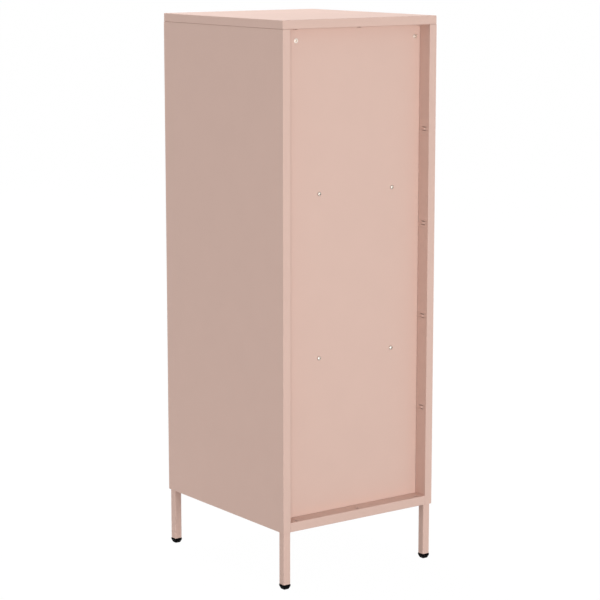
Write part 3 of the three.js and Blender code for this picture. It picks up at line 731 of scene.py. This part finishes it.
@dataclass
class Case:
    """The folded case: lid, side panels, floor tray, shelves and back panel."""

    body: str = "case"
    lid_height: float = 17 * MM
    lid_lips: Triple = (14 * MM, 19 * MM, 29.7 * MM)   # side, front, rear
    plinth: float = 18.6 * MM
    plinth_lip: float = 14 * MM
    edge_flange: float = 17 * MM
    edge_lip: float = 7 * MM
    lip_bend: float = 0.4 * MM
    seam: float = 0.15 * MM          # joint line under the lid
    front_return: float = 23 * MM
    back_recess: float = 30 * MM
    back_edge: float = 0.2 * MM      # rounding of the back panel's edges
    rail: float = 17 * MM
    rail_lip: float = 19 * MM
    side_flange: float = 18 * MM     # of the shelves
    bolt_hole: float = 6.6 * MM
    screw_hole: float = 4.6 * MM
    anchor_hole: float = 7.6 * MM
    corner_room: float = 20 * MM     # how far the cutters for the decks' corners reach out
    ledge_bridge: HookBridge = field(default_factory=HookBridge)
    ledge_bridge_margin: float = 18 * MM
    ledge_bridge_inset: float = 10 * MM
    side_bridge: HookBridge = field(default_factory=lambda: HookBridge(rise=1.5 * MM))
    side_bridges: int = 4
    side_bridge_pitch: float = 187.5 * MM
    side_bridge_inset: float = 15 * MM
    lowest_side_bridge: float = 316 * MM
    low: Vector = field(init=False)
    high: Vector = field(init=False)

    def __post_init__(self) -> None:
        """Takes the case's outer box from the lid and the side panels."""
        lid = Room("top_panel")
        self.high = lid.high
        self.low = Vector((lid.low.x, lid.low.y, Room("left_side_panel").low.z))

    @property
    def mouth(self) -> float:
        """Half the width between the side panels' edges."""
        return self.high.x - self.edge_flange

    @property
    def lid_foot(self) -> float:
        """Height of the lid's lower face."""
        return self.high.z - self.lid_height

    @property
    def front_stop(self) -> float:
        """Place of the door stops' front faces, across the cabinet's depth."""
        return self.low.y + self.front_return - SHEET

    @property
    def rear_stop(self) -> float:
        """Place of the rear face of the lips that the back panel lies against."""
        return self.high.y - self.back_recess - SHEET - SEAT

    def build(self) -> None:
        """Builds every piece of the case."""
        self.lid()
        for side, hand in zip((-1, 1), HANDS):
            self.side_panel(side, hand)
        self.floor_tray()
        for node in SHELVES:
            self.shelf(node)
        self.back_panel()

    def lid(self) -> None:
        """A tray, open downwards, with lips under its edge."""
        side_lip, front_lip, rear_lip = self.lid_lips
        low = Vector((self.low.x, self.low.y, self.lid_foot))
        piece = block("lid", low, self.high)
        open_window(piece, DOWN, low + Vector((side_lip, front_lip, 0)),
                    self.high - Vector((side_lip, rear_lip, 0)))
        fold(piece)
        cut(piece, pin_cutter(self.lid_foot, self.lid_foot))
        self.put_ledge_bridges(piece, self.lid_foot, DOWN)
        put_up(piece, Slot.PAINT, self.body, "top_panel")

    def side_panel(self, side: int, hand: str) -> None:
        """A web with a channel along each upright edge.

        Args:
            side: +1 for the right and -1 for the left.
            hand: the side's name.
        """
        node = f"{hand}_side_panel"
        low, high = Room(node).low, Room(node).high
        high.z = self.lid_foot - self.seam
        inward = LEFT * side
        edge = side * self.mouth
        x_in, x_out = sorted((edge, side * self.high.x))
        piece = block(f"{hand}_side_sheet", (x_in, low.y, low.z), (x_out, high.y, high.z))
        open_window(piece, inward, (x_in, self.front_stop, low.z), (x_out, self.rear_stop, high.z))
        for stop in (self.front_stop, self.rear_stop):
            fold_line = on_line(RIGHT, edge, BACK, stop)
            with shaping(piece, edges=fold_line):
                draw_out(inward * self.edge_lip)
            with shaping(piece, edges=fold_line):
                bpy.ops.mesh.bevel(offset=self.lip_bend, segments=3)
        fold(piece)
        bolts = [Room(f"{end}_{hand}_leg_bolt").middle for end in ("front", "rear")]
        cut(piece, *(rod("cutter", Vector((bolt.x, bolt.y, low.z)), UP, self.bolt_hole, 4 * SHEET)
                     for bolt in bolts))
        heights = [self.lowest_side_bridge + step * self.side_bridge_pitch
                   for step in range(self.side_bridges)]
        self.side_bridge.put_on(
            piece, [Vector((edge, high.y - self.side_bridge_inset, z)) for z in heights], BACK, inward)
        put_up(piece, Slot.PAINT, self.body, node)

    def put_ledge_bridges(self, piece: Piece, height: float, out: Vector) -> None:
        """Puts three hook bridges on the level strip behind a rear edge.

        Args:
            piece: the lid or the floor tray.
            height: the height of the strip.
            out: up or down, the direction that the strip looks in.
        """
        reach = self.mouth - self.ledge_bridge_margin
        y = self.high.y - self.ledge_bridge_inset
        places = [Vector((x, y, height)) for x in (-reach, 0, reach)]
        self.ledge_bridge.put_on(piece, places, RIGHT, out)

    def make_room(self, piece: Piece, low_z: float, high_z: float) -> None:
        """Cuts a deck's corners away round the side panels' channels and lips.

        Args:
            piece: the deck.
            low_z: the deck's lowest height.
            high_z: its highest height.
        """
        past = self.corner_room
        channel = self.mouth - SEAT
        front_end = self.front_stop + SHEET + SEAT
        rear_end = self.rear_stop - SHEET - SEAT
        for near, far, stretches in (
                (channel, self.high.x + past,
                 ((self.low.y - past, front_end), (rear_end, self.high.y + past))),
                (channel - self.edge_lip, self.high.x,
                 ((self.front_stop - SEAT, front_end), (rear_end, self.rear_stop + SEAT)))):
            cut(piece, *(block("cutter", (x0, start, low_z - past), (x1, stop, high_z + past))
                         for x0, x1 in ((-far, -near), (near, far)) for start, stop in stretches))

    def floor_tray(self) -> None:
        """The floor of the case: a tray, open downwards, between the side panels."""
        room = Room("bottom_panel")
        low, high = room.low, room.high
        high.z = self.low.z + self.plinth
        lip = Vector((self.high.x - self.mouth + self.edge_lip - SHEET - SEAT, self.plinth_lip, 0))
        piece = block("floor_tray", low, high)
        open_window(piece, DOWN, low + lip, high - lip)
        fold(piece)
        self.make_room(piece, low.z, high.z)
        flange = self.mouth - self.edge_lip - SEAT
        over_flange = low.z + SHEET + SEAT
        cut(piece, pin_cutter(high.z, high.z), *(
            block("cutter", (x0, self.front_stop + SHEET / 2, low.z - PAST),
                  (x1, self.rear_stop + SHEET / 2, over_flange))
            for x0, x1 in ((low.x - PAST, -flange), (flange, high.x + PAST))))
        self.put_ledge_bridges(piece, high.z, UP)
        put_up(piece, Slot.PAINT, self.body, "bottom_panel")

    def shelf(self, node: str) -> None:
        """A deck with a rail folded along its front and flanges on its other sides.

        Args:
            node: the shelf's node.
        """
        low, high = Room(node).low, Room(node).high
        rail_foot = high.z - self.rail
        piece = block(f"{node}_sheet", low, high)
        open_sides(piece, DOWN)
        open_window(piece, FRONT, low, (high.x, high.y, rail_foot))
        behind_rail = low.y + self.rail_lip + 2 * SHEET
        for side in (LEFT, RIGHT):
            open_window(piece, side, low, (high.x, high.y, high.z - self.side_flange))
            open_window(piece, side, low, (high.x, behind_rail, high.z - 2 * BEND))
        with shaping(piece, edges=on_line(UP, rail_foot, BACK, low.y)):
            draw_out(BACK * self.rail_lip)
        fold(piece)
        self.make_room(piece, low.z, high.z)
        cut(piece, pin_cutter(rail_foot, high.z), *(
            self.through_back(f"{node}_screw_{hand}", self.screw_hole) for hand in HANDS))
        put_up(piece, Slot.PAINT, self.body, node)

    def through_back(self, node: str, width: float) -> Piece:
        """A cutter for a fixing's round hole through the back panel and what lies against it."""
        at = Room(node).middle
        return rod("cutter", Vector((at.x, self.rear_stop - 4 * SHEET, at.z)), BACK, width, 8 * SHEET)

    def back_panel(self) -> None:
        """One flat sheet, with holes for the shelves' screws and for the wall anchors."""
        room = Room("back_panel")
        piece = block("back_sheet", room.low, room.high)
        soften(piece, self.back_edge, steps=2)
        cut(piece, *(self.through_back(node, width) for nodes, width in (
            (SCREWS, self.screw_hole), (ANCHORS, self.anchor_hole)) for node in nodes))
        put_up(piece, Slot.PAINT, self.body, "back_panel")


# ---- Fixings ----


@dataclass
class Fixings:
    """Screws that hold the shelves and threaded anchors for the wall, in the back panel."""

    body: str = "case"
    shank: float = 4 * MM
    thread_pitch: float = 0.7 * MM
    thread_depth: float = 0.25 * MM
    dome: float = 2.5 * MM           # height of the head
    brim: float = 0.3 * MM           # height of the head's upright edge
    dome_angles: tuple[float, ...] = (15, 30, 45, 60, 72, 83)
    cross_length: float = 4.4 * MM
    cross_width: float = 0.9 * MM
    cross_depth: float = 1.5 * MM
    anchor_body: float = 7 * MM
    anchor_flange: float = 0.9 * MM
    # Shares of the radius and of the length: a body with a waist, and a rounded flange.
    body_shape: tuple[Ring, ...] = (
        (0.9, -1), (1, -0.96), (1, -0.5), (0.94, -0.48), (0.94, -0.3), (1, -0.28), (1, 0))
    flange_shape: tuple[Ring, ...] = ((1, 0), (1, 0.4), (0.94, 0.8), (0.8, 1))
    bore: float = 4 * MM
    bore_depth: float = 3 * MM
    # Shares of the bore's radius and of the flange's height: a flared mouth.
    mouth_shape: tuple[Ring, ...] = ((1, 0.3), (1.2, 1.1))

    def build(self) -> None:
        """Builds the screws and the anchors."""
        self.screws()
        self.anchors()

    def screws(self) -> None:
        """Domed screws with a cross recess, their threads towards the front."""
        room = Room(SCREWS[0])
        head, half = room.size.x / 2, self.shank / 2
        foot = room.side(BACK) + FRONT * self.dome
        length = foot.y - room.low.y
        tip = half - self.thread_depth
        rings = [(tip / 2, -length),
                 *threads(half, self.thread_pitch, self.thread_depth, tip - length, -SHEET),
                 (tip, 0), (head, 0), (head, self.brim)]
        for turn in map(math.radians, self.dome_angles):
            rings.append((head * math.cos(turn), self.brim + (self.dome - self.brim) * math.sin(turn)))
        piece = turned(f"{SCREWS[0]}_part", foot, BACK, rings, sides=32)
        top, depth = foot + BACK * self.dome, 2 * self.cross_depth
        long, short = self.cross_length, self.cross_width
        for size in ((long, depth, short), (short, depth, long)):
            cut(piece, block_about("cutter", top, size))
        put_up(piece, Slot.ZINC, self.body, "{at}", SCREWS, DULL_ZINC)

    def anchors(self) -> None:
        """Threaded inserts with a flange against the back panel."""
        room = Room(ANCHORS[0])
        edge = self.anchor_flange
        foot = room.side(BACK) + FRONT * edge
        piece = turned(f"{ANCHORS[0]}_part", foot, BACK, [
            *scaled(self.body_shape, self.anchor_body / 2, foot.y - room.low.y),
            *scaled(self.flange_shape, room.size.x / 2, edge)])
        cut(piece, turned("cutter", foot, BACK, [
            (self.bore / 2, edge - self.bore_depth), *scaled(self.mouth_shape, self.bore / 2, edge)]))
        put_up(piece, Slot.ZINC, self.body, "{at}", ANCHORS, BRIGHT_ZINC)


# ---- Legs ----


@dataclass
class Legs:
    """Four square tubes with plastic glides, each held by a bolt."""

    body: str = "case"
    wall: float = 1.2 * MM
    cap: float = 3 * MM
    corner: float = 1.8 * MM
    bolt_hole: float = 6.6 * MM
    glide_foot: float = 11 * MM
    glide_collar: float = 3.5 * MM
    glide_height: float = 10 * MM
    glide_stem: float = 13 * MM
    glide_corner: float = 0.8 * MM
    stem_taper: Ring = (1 * MM, 2 * MM)     # how far in, and along how much of the stem
    bolt_shank: float = 6 * MM
    bolt_pitch: float = 1 * MM
    bolt_thread: float = 0.35 * MM          # depth of the thread
    bolt_head: float = 10 * MM
    bolt_head_height: float = 4 * MM
    bolt_chamfer: float = 0.5 * MM
    bolt_socket: float = 4 * MM
    bolt_socket_floor: float = 1.6 * MM     # above the head's lower face

    def build(self) -> None:
        """Builds the front left leg and copies it to the other corners."""
        for part, slot, piece in (("leg", Slot.PAINT, self.tube()),
                                  ("glide", Slot.PLASTIC, self.glide()),
                                  ("leg_bolt", Slot.ZINC, self.bolt())):
            put_up(piece, slot, self.body, "{at}_" + part, CORNERS)

    def tube(self) -> Piece:
        """A square tube with rounded corners and a threaded plate in its top.

        Returns:
            The tube.
        """
        room = Room("front_left_leg")
        middle = room.middle
        piece = block("front_left_leg_part", room.low, room.high)
        with shaping(piece, faces=looks(DOWN)):
            bpy.ops.mesh.inset(thickness=self.wall, depth=0)
            draw_out(UP * (room.size.z - self.cap))
        half = room.size.x / 2 - TOUCH
        with shaping(piece, edges=lambda *ends: all(
                abs(end.x - middle.x) > half and abs(end.y - middle.y) > half for end in ends)
                and abs(ends[0].z - ends[1].z) > self.cap):
            bpy.ops.mesh.bevel(offset=self.corner, segments=5)
        foot = room.side(UP) + DOWN * 2 * self.cap
        cut(piece, rod("cutter", foot, UP, self.bolt_hole, 3 * self.cap, sides=24))
        return piece

    def glide(self) -> Piece:
        """A foot that widens to a square collar, and a stem that plugs the tube.

        Returns:
            The glide.
        """
        room = Room("front_left_glide")
        height, collar = room.size.z, room.size.x / 2
        stem = self.glide_stem / 2
        taper, taper_length = self.stem_taper
        rings = [(self.glide_foot / 2, 0), (collar, self.glide_height - self.glide_collar),
                 (collar, self.glide_height), (stem, self.glide_height),
                 (stem, height - taper_length), (stem - taper, height)]
        piece = turned("front_left_glide_part", room.side(DOWN), UP,
                       scaled(rings, math.sqrt(2), 1), sides=4, twist=math.pi / 4)
        soften(piece, self.glide_corner, above=20)
        return piece

    def bolt(self) -> Piece:
        """A cap bolt, its head on the side panel's lower flange and its tip in the leg.

        Returns:
            The bolt.
        """
        room = Room("front_left_leg_bolt")
        half, head, top = self.bolt_shank / 2, self.bolt_head / 2, self.bolt_head_height
        pitch, depth, chamfer = self.bolt_pitch, self.bolt_thread, self.bolt_chamfer
        foot = room.side(UP) + DOWN * top
        length = foot.z - room.low.z
        piece = turned("front_left_leg_bolt_part", foot, UP, [
            (half - 2 * depth, -length), *threads(half, pitch, depth, pitch - length, -pitch),
            (half, 0), (head, 0), (head, top - chamfer), (head - chamfer, top)], sides=32)
        floor = foot + UP * self.bolt_socket_floor
        cut(piece, rod("cutter", floor, UP, self.bolt_socket, 2 * top, sides=6))
        return piece


# ---- Doors ----


@dataclass
class Doors:
    """Folded doors with vents, stiffeners, hinge pins, pulls and rubber bumpers."""

    body: str = "{at}_door_body"
    lip: float = 12 * MM
    vents: int = 4
    vent_length: float = 90 * MM
    vent_width: float = 3.2 * MM
    vent_pitch: float = 9 * MM
    vent_below_top: float = 30 * MM
    vent_corner: float = 1.5 * MM
    pull_screw: float = 3.4 * MM
    pull_bar: float = 8 * MM
    pull_corner: float = 2 * MM
    stiffener_brim: float = 12 * MM
    lock_body: float = 16.6 * MM
    lock_flats: float = 14.6 * MM
    pin: float = 4 * MM
    pin_collar: float = 8 * MM
    pin_collar_thickness: float = 2 * MM
    pin_in_door: float = 14 * MM
    pin_chamfer: float = 0.5 * MM
    # Shares of the radius and of the length: a rounded end.
    bumper_shape: tuple[Ring, ...] = ((1, 0), (1, 0.7), (0.93, 0.88), (0.75, 0.97), (0.5, 1))

    def build(self) -> None:
        """Builds the lowest door and copies it to the compartments above."""
        self.pan()
        self.stiffener()
        for end, way in (("top", UP), ("bottom", DOWN)):
            self.hinge_pin(end, way)
        self.pull()
        self.bumper()

    def pull_posts(self) -> list[Vector]:
        """The middles of the pull's two posts, on the door's face.

        Returns:
            The lower and the upper post's place.
        """
        room = Room("lower_pull")
        half = self.pull_bar / 2
        heights = (room.low.z + half, room.high.z - half)
        return [Vector((room.middle.x, Room("lower_door").low.y, z)) for z in heights]

    def pan(self) -> None:
        """A tray open to the rear, with its vents and holes."""
        room = Room("lower_door")
        low, high = room.low, room.high
        piece = block("lower_door_pan", low, high)
        lip = Vector((self.lip, 0, self.lip))
        open_window(piece, BACK, low + lip, high - lip)
        fold(piece)
        skin = 6 * SHEET
        slots = []
        for step in range(self.vents):
            at = Vector((0, low.y, high.z - self.vent_below_top - step * self.vent_pitch))
            slot = block_about("cutter", at, (self.vent_length, 2 * skin, self.vent_width))
            soften(slot, self.vent_corner, steps=4)
            slots.append(slot)
        cut(piece, *slots)
        lock = Room("lower_lock_barrel").middle
        foot = Vector((lock.x, low.y, lock.z)) - BACK * skin
        screw_hole = self.pull_screw + 2 * SEAT
        cut(piece, flatted_rod("cutter", foot, 2 * skin, self.lock_body, self.lock_flats), *(
            rod("cutter", post - BACK * skin, BACK, screw_hole, 2 * skin, sides=24)
            for post in self.pull_posts()))
        cut(piece, *(pin_cutter(z, z, sides=24) for z in (low.z, high.z)))
        put_up(piece, Slot.PAINT, self.body, "{at}_door", LEVELS)

    def stiffener(self) -> None:
        """A hat section that stands upright inside the door."""
        room = Room("lower_door_stiffener")
        low, high = room.low, room.high
        web = high.x - self.stiffener_brim + SHEET / 2
        brim_face = low.y + SHEET
        piece = block("lower_door_hat", (-web, brim_face, low.z), (web, high.y, high.z))
        open_sides(piece, FRONT, UP, DOWN)
        for side in (-1, 1):
            with shaping(piece, edges=on_line(RIGHT, side * web, BACK, brim_face)):
                draw_out(RIGHT * side * (high.x - web))
        fold(piece)
        put_up(piece, Slot.PAINT, self.body, "{at}_door_stiffener", LEVELS)

    def hinge_pin(self, end: str, way: Vector) -> None:
        """A pin with a collar inside the door, its free end in the frame.

        Args:
            end: "top" or "bottom".
            way: the direction from the door to the frame.
        """
        room = Room(f"lower_hinge_pin_{end}")
        length, chamfer = room.size.z, self.pin_chamfer
        half, collar = self.pin / 2, self.pin_collar / 2
        face = self.pin_in_door - SHEET - SEAT
        collar_foot = face - self.pin_collar_thickness
        piece = turned(f"lower_hinge_pin_{end}_part", room.side(-way), way, [
            (half - chamfer, 0), (half, chamfer), (half, collar_foot),
            (collar - chamfer, collar_foot), (collar, collar_foot + chamfer / 2),
            (collar, face), (half, face), (half, length - chamfer), (half - chamfer, length)], sides=32)
        put_up(piece, Slot.ZINC, self.body, "{at}_hinge_pin_" + end, LEVELS)

    def pull(self) -> None:
        """A bow pull: an upright bar on two posts, with its screws."""
        room = Room("lower_pull")
        low, high = room.low, room.high
        posts = self.pull_posts()
        seat = posts[0].y - SEAT
        span_low, span_high = low.z + self.pull_bar, high.z - self.pull_bar
        piece = block("lower_pull_bow", low, (high.x, low.y + self.pull_bar, high.z))
        for z in (span_low, span_high):
            with shaping(piece, faces=looks(BACK)):
                bpy.ops.mesh.bisect(plane_co=(0, 0, z), plane_no=UP)
        with shaping(piece, faces=lambda at, normal: looks(BACK)(at, normal) and not (
                span_low < at.z < span_high)):
            draw_out(BACK * (seat - low.y - self.pull_bar))
        soften(piece, self.pull_corner, steps=4)
        reach = high.y - posts[0].y + PAST
        fuse(piece, *(rod("screw", post - BACK * PAST, BACK, self.pull_screw, reach, sides=24)
                      for post in posts))
        put_up(piece, Slot.PAINT, self.body, "{at}_pull", LEVELS)

    def bumper(self) -> None:
        """A round rubber buffer on the door stop."""
        room = Room("lower_bumper")
        rings = scaled(self.bumper_shape, room.size.x / 2, room.size.y)
        piece = turned("lower_bumper_part", room.side(BACK), FRONT, rings, sides=32)
        put_up(piece, Slot.RUBBER, "case", "{at}_bumper", LEVELS)


# ---- Cam locks ----


@dataclass
class CamLocks:
    """A cam lock in each door: barrel, nut, plug, cam and a flat key."""

    door_body: str = "{at}_door_body"
    lock_body: str = "{at}_lock_body"
    shell: float = 16 * MM
    flats: float = 14 * MM
    head: float = 3 * MM
    # How far in from the head's rim, and how far out: a rounded edge round a shallow dish.
    rim_shape: tuple[Ring, ...] = (
        (0, 0), (0, 1.35 * MM), (0.35 * MM, 2.25 * MM), (1.2 * MM, 3 * MM), (3.2 * MM, 3 * MM),
        (3.6 * MM, 2.7 * MM))
    free: float = 0.3 * MM
    thread_pitch: float = 1 * MM
    thread_depth: float = 0.35 * MM
    thread_start: float = 5 * MM
    nut_chamfer: float = 0.4 * MM
    plug: float = 11 * MM
    plug_chamfer: Ring = (0.6 * MM, 0.5 * MM)    # how far in, and how far along
    square: float = 6 * MM
    stake: float = 9.6 * MM
    # Shares of the radius and of the length: a chamfered end.
    stake_shape: tuple[Ring, ...] = ((1, 0), (1, 0.6), (0.88, 1))
    cam_corner: float = 2 * MM
    cam_edge: float = 0.25 * MM
    keyway_depth: float = 17.3 * MM
    key_blade: float = 7 * MM
    key_hole: float = 5 * MM
    key_edge: float = 0.2 * MM
    notch: float = 1.6 * MM
    # Place along the blade and depth of each notch, in millimetres.
    notches: tuple[Ring, ...] = ((5.0, 0.5), (7.6, 1.1), (10.2, 0.7), (12.8, 1.3), (15.2, 0.6))

    def build(self) -> None:
        """Builds the lowest lock and copies it to the doors above."""
        self.barrel()
        self.nut()
        self.turning_plug()
        self.cam()
        self.key()

    @property
    def axis(self) -> Vector:
        """A point on the lock's axis, at the front of its head."""
        return Room("lower_lock_barrel").side(FRONT)

    def on_axis(self, y: float) -> Vector:
        """The point of the lock's axis at a place across the cabinet's depth."""
        return Vector((self.axis.x, y, self.axis.z))

    def barrel(self) -> None:
        """A head with a rounded rim on a threaded body that has two flats."""
        room = Room("lower_lock_barrel")
        foot = self.axis + BACK * self.head
        rim = room.size.x / 2
        length = room.high.y - foot.y + PAST
        piece = flatted_rod("lower_lock_shell", foot - BACK * PAST, length, self.shell, self.flats,
                            threads(self.shell / 2, self.thread_pitch, self.thread_depth,
                                    self.thread_start, length - self.thread_pitch))
        rings = [(rim - inset, out) for inset, out in self.rim_shape]
        fuse(piece, turned("head", foot, FRONT, rings, sides=64))
        cut(piece, rod("cutter", self.axis + FRONT * PAST, BACK, self.plug + 2 * self.free,
                       room.size.y + 2 * PAST))
        put_up(piece, Slot.CHROME, self.door_body, "{at}_lock_barrel", LEVELS)

    def nut(self) -> None:
        """A thin chamfered hexagon nut."""
        room = Room("lower_lock_nut")
        corner, thickness = room.size.x / 2, room.size.y
        foot = self.on_axis(room.low.y)
        chamfer = self.nut_chamfer
        piece = turned("lower_lock_nut_part", foot, BACK, [
            (corner - chamfer, 0), (corner, chamfer), (corner, thickness - chamfer),
            (corner - chamfer, thickness)], sides=6, twist=math.pi / 2)
        cut(piece, flatted_rod("cutter", foot - BACK * PAST, thickness + 2 * PAST,
                               self.shell + 2 * self.free, self.flats + 2 * self.free))
        put_up(piece, Slot.ZINC, self.door_body, "{at}_lock_nut", LEVELS)

    def turning_plug(self) -> None:
        """The plug that the key turns, square through the cam and staked behind it."""
        room, cam = Room("lower_lock_plug"), Room("lower_lock_cam")
        half = self.plug / 2
        inset, chamfer = self.plug_chamfer
        length = cam.low.y - self.free - room.low.y
        piece = turned("lower_lock_core", self.axis, BACK, [
            (half - inset, 0), (half, chamfer), (half, length)])
        square = Vector((self.square / 2, 0, self.square / 2))
        fuse(piece, block("neck", self.on_axis(self.axis.y + length - PAST) - square,
                          self.on_axis(cam.high.y + 2 * self.free) + square))
        start = cam.high.y + self.free
        fuse(piece, turned("stake", self.on_axis(start), BACK,
                           scaled(self.stake_shape, self.stake / 2, room.high.y - start), sides=32))
        keyway = Vector((Room("lower_key").size.x / 2 + self.free, 0, self.key_blade / 2 + self.free))
        cut(piece, block("cutter", self.axis - keyway + FRONT * PAST,
                         self.axis + keyway + BACK * self.keyway_depth))
        put_up(piece, Slot.CHROME, self.lock_body, "{at}_lock_plug", LEVELS)

    def cam(self) -> None:
        """A flat cam with a round end, a square hole and rounded lower corners."""
        room = Room("lower_lock_cam")
        low, high, thickness = room.low, room.high, room.size.y
        foot = self.on_axis(low.y)
        piece = block("lower_lock_cam_part", low, (high.x, high.y, self.axis.z))
        with shaping(piece, edges=lambda *ends: all(end.z < low.z + TOUCH for end in ends)
                     and abs(ends[0].y - ends[1].y) > TOUCH):
            bpy.ops.mesh.bevel(offset=self.cam_corner, segments=4)
        fuse(piece, rod("end", foot, BACK, room.size.x, thickness))
        hole = self.square + 2 * self.free
        cut(piece, block_about("cutter", foot, (hole, 4 * thickness, hole)))
        soften(piece, self.cam_edge, steps=2)
        put_up(piece, Slot.ZINC, self.lock_body, "{at}_lock_cam", LEVELS)

    def key(self) -> None:
        """A flat key: a round bow with a hole, and a notched blade."""
        room = Room("lower_key")
        low, high, thickness = room.low, room.high, room.size.x
        z, half = self.axis.z, self.key_blade / 2
        bow = room.size.z / 2
        centre = Vector((low.x, low.y + bow, z))
        piece = rod("lower_key_part", centre, RIGHT, 2 * bow, thickness, sides=64)
        fuse(piece, block("blade", (low.x, centre.y, z - half), (high.x, high.y, z + half)))
        cut(piece, rod("cutter", centre + FRONT * bow / 2 + LEFT * PAST, RIGHT, self.key_hole,
                       thickness + 2 * PAST, sides=32))
        cutters = []
        for along, depth in scaled(self.notches, MM, MM):
            y = self.axis.y + along
            cutters.append(block("cutter", (low.x - PAST, y - self.notch / 2, z + half - depth),
                                 (high.x + PAST, y + self.notch / 2, z + half + PAST)))
        cut(piece, *cutters)
        soften(piece, self.key_edge, steps=2)
        put_up(piece, Slot.CHROME, self.lock_body, "{at}_key", LEVELS)


# ---- Studio ----


@dataclass(frozen=True)
class Lamp:
    """A square soft lamp that points at the cabinet's upright axis."""

    name: str
    place: Triple
    aim: float               # height of the point that it points at
    size: float
    power: float             # in watts
    mirrored: bool = True    # whether it shows as a highlight on metal and paint

    def hang(self) -> None:
        """Adds the lamp to the scene."""
        data = bpy.data.lights.new(self.name, "AREA")
        data.shape = "SQUARE"
        data.size = self.size
        data.energy = self.power
        lamp = bpy.data.objects.new(self.name, data)
        lamp.location = Vector(self.place)
        lamp.visible_glossy = self.mirrored
        ray = Vector((0, 0, self.aim)) - lamp.location
        lamp.rotation_euler = ray.to_track_quat("-Z", "Y").to_euler()
        bpy.context.scene.collection.objects.link(lamp)


@dataclass
class Studio:
    """A white floor and surround, soft lamps and the camera."""

    lamps: tuple[Lamp, ...] = (
        Lamp("top_key", (-0.3, -2.2, 4.2), 1.0, 2.2, 114),
        Lamp("rear_lamp", (0.1, 6.0, 1.0), 0.6, 2.0, 140),
        Lamp("corner_lamp", (3.95, 4.85, 0.8), 0.5, 0.5, 60),
        Lamp("right_lamp", (6.0, -0.8, 0.35), 0.4, 0.6, 46, mirrored=False),
        Lamp("left_lamp", (-6.0, -0.8, 0.35), 0.4, 0.6, 90, mirrored=False),
        Lamp("front_lamp", (-0.3, -6.0, 1.0), 0.6, 2.0, 100))
    ambient: float = 0.50
    floor_width: float = 60
    floor_grey: float = 0.50         # the floor as it lights the cabinet
    white_share: float = 0.975       # how much of the floor's white is its own, as it is seen
    glow: float = 1.018              # brings that share and the lit rest up to white
    lens: float = 125.27             # in millimetres, as the sensor
    sensor: float = 36
    farthest: float = 100
    camera_place: Triple = (2.452, 3.382, 1.272)
    camera_fall: float = 10.16       # degrees below level
    camera_turn: float = 143.91

    def build(self) -> None:
        """Builds the studio."""
        self.floor()
        self.world()
        for lamp in self.lamps:
            lamp.hang()
        self.camera()

    @staticmethod
    def seen_straight(recipe: Recipe) -> Wire:
        """1 for rays from the camera, and for those in a mirror or through glass.

        Args:
            recipe: the floor's or the surround's recipe.

        Returns:
            1 or 0.
        """
        rays = recipe.node("ShaderNodeLightPath")
        straight, mirrored, through = (Wire(recipe, rays.outputs[f"Is {kind} Ray"])
                                       for kind in ("Camera", "Glossy", "Transmission"))
        return straight.at_least(mirrored).at_least(through)

    def floor(self) -> None:
        """A wide white floor that keeps a faint shadow."""
        bpy.ops.object.select_all(action="DESELECT")
        bpy.ops.mesh.primitive_plane_add(size=self.floor_width, location=(0, 0, 0))
        piece = settle("studio_floor")
        recipe = Recipe(bpy.data.materials.new("studio_white"))
        grey = shade((1, 1, 1), self.floor_grey)
        matt = recipe.node("ShaderNodeBsdfDiffuse", inputs={"Color": grey})
        glow = recipe.node("ShaderNodeEmission", inputs={"Color": WHITE, "Strength": self.glow})
        share = self.seen_straight(recipe) * self.white_share
        recipe.two_looks("ShaderNodeOutputMaterial", share, matt, glow)
        piece.data.materials.append(recipe.owner)

    def world(self) -> None:
        """An even surround that looks white and lights softly."""
        world = bpy.data.worlds.new("studio_surround")
        bpy.context.scene.world = world
        recipe = Recipe(world)
        soft, white = (
            recipe.node("ShaderNodeBackground", inputs={"Color": WHITE, "Strength": strength})
            for strength in (self.ambient, 1.0))
        recipe.two_looks("ShaderNodeOutputWorld", self.seen_straight(recipe), soft, white)

    def camera(self) -> None:
        """The camera, a little above the cabinet and looking down at its rear corner."""
        data = bpy.data.cameras.new("view")
        data.sensor_width = self.sensor
        data.lens = self.lens
        data.clip_end = self.farthest
        camera = bpy.data.objects.new("view", data)
        camera.location = self.camera_place
        camera.rotation_euler = (math.radians(90 - self.camera_fall), 0, math.radians(self.camera_turn))
        bpy.context.scene.collection.objects.link(camera)
        bpy.context.scene.camera = camera


def main() -> None:
    """Builds the studio and the cabinet, piece by piece."""
    logging.basicConfig(level=logging.INFO, format="%(name)s: %(message)s")
    bpy.context.scene.view_settings.view_transform = "Standard"
    Studio().build()
    for assembly in (Case(), Fixings(), Legs(), Doors(), CamLocks()):
        LOG.info("building %s", type(assembly).__name__)
        assembly.build()


if __name__ == "__main__":
    main()
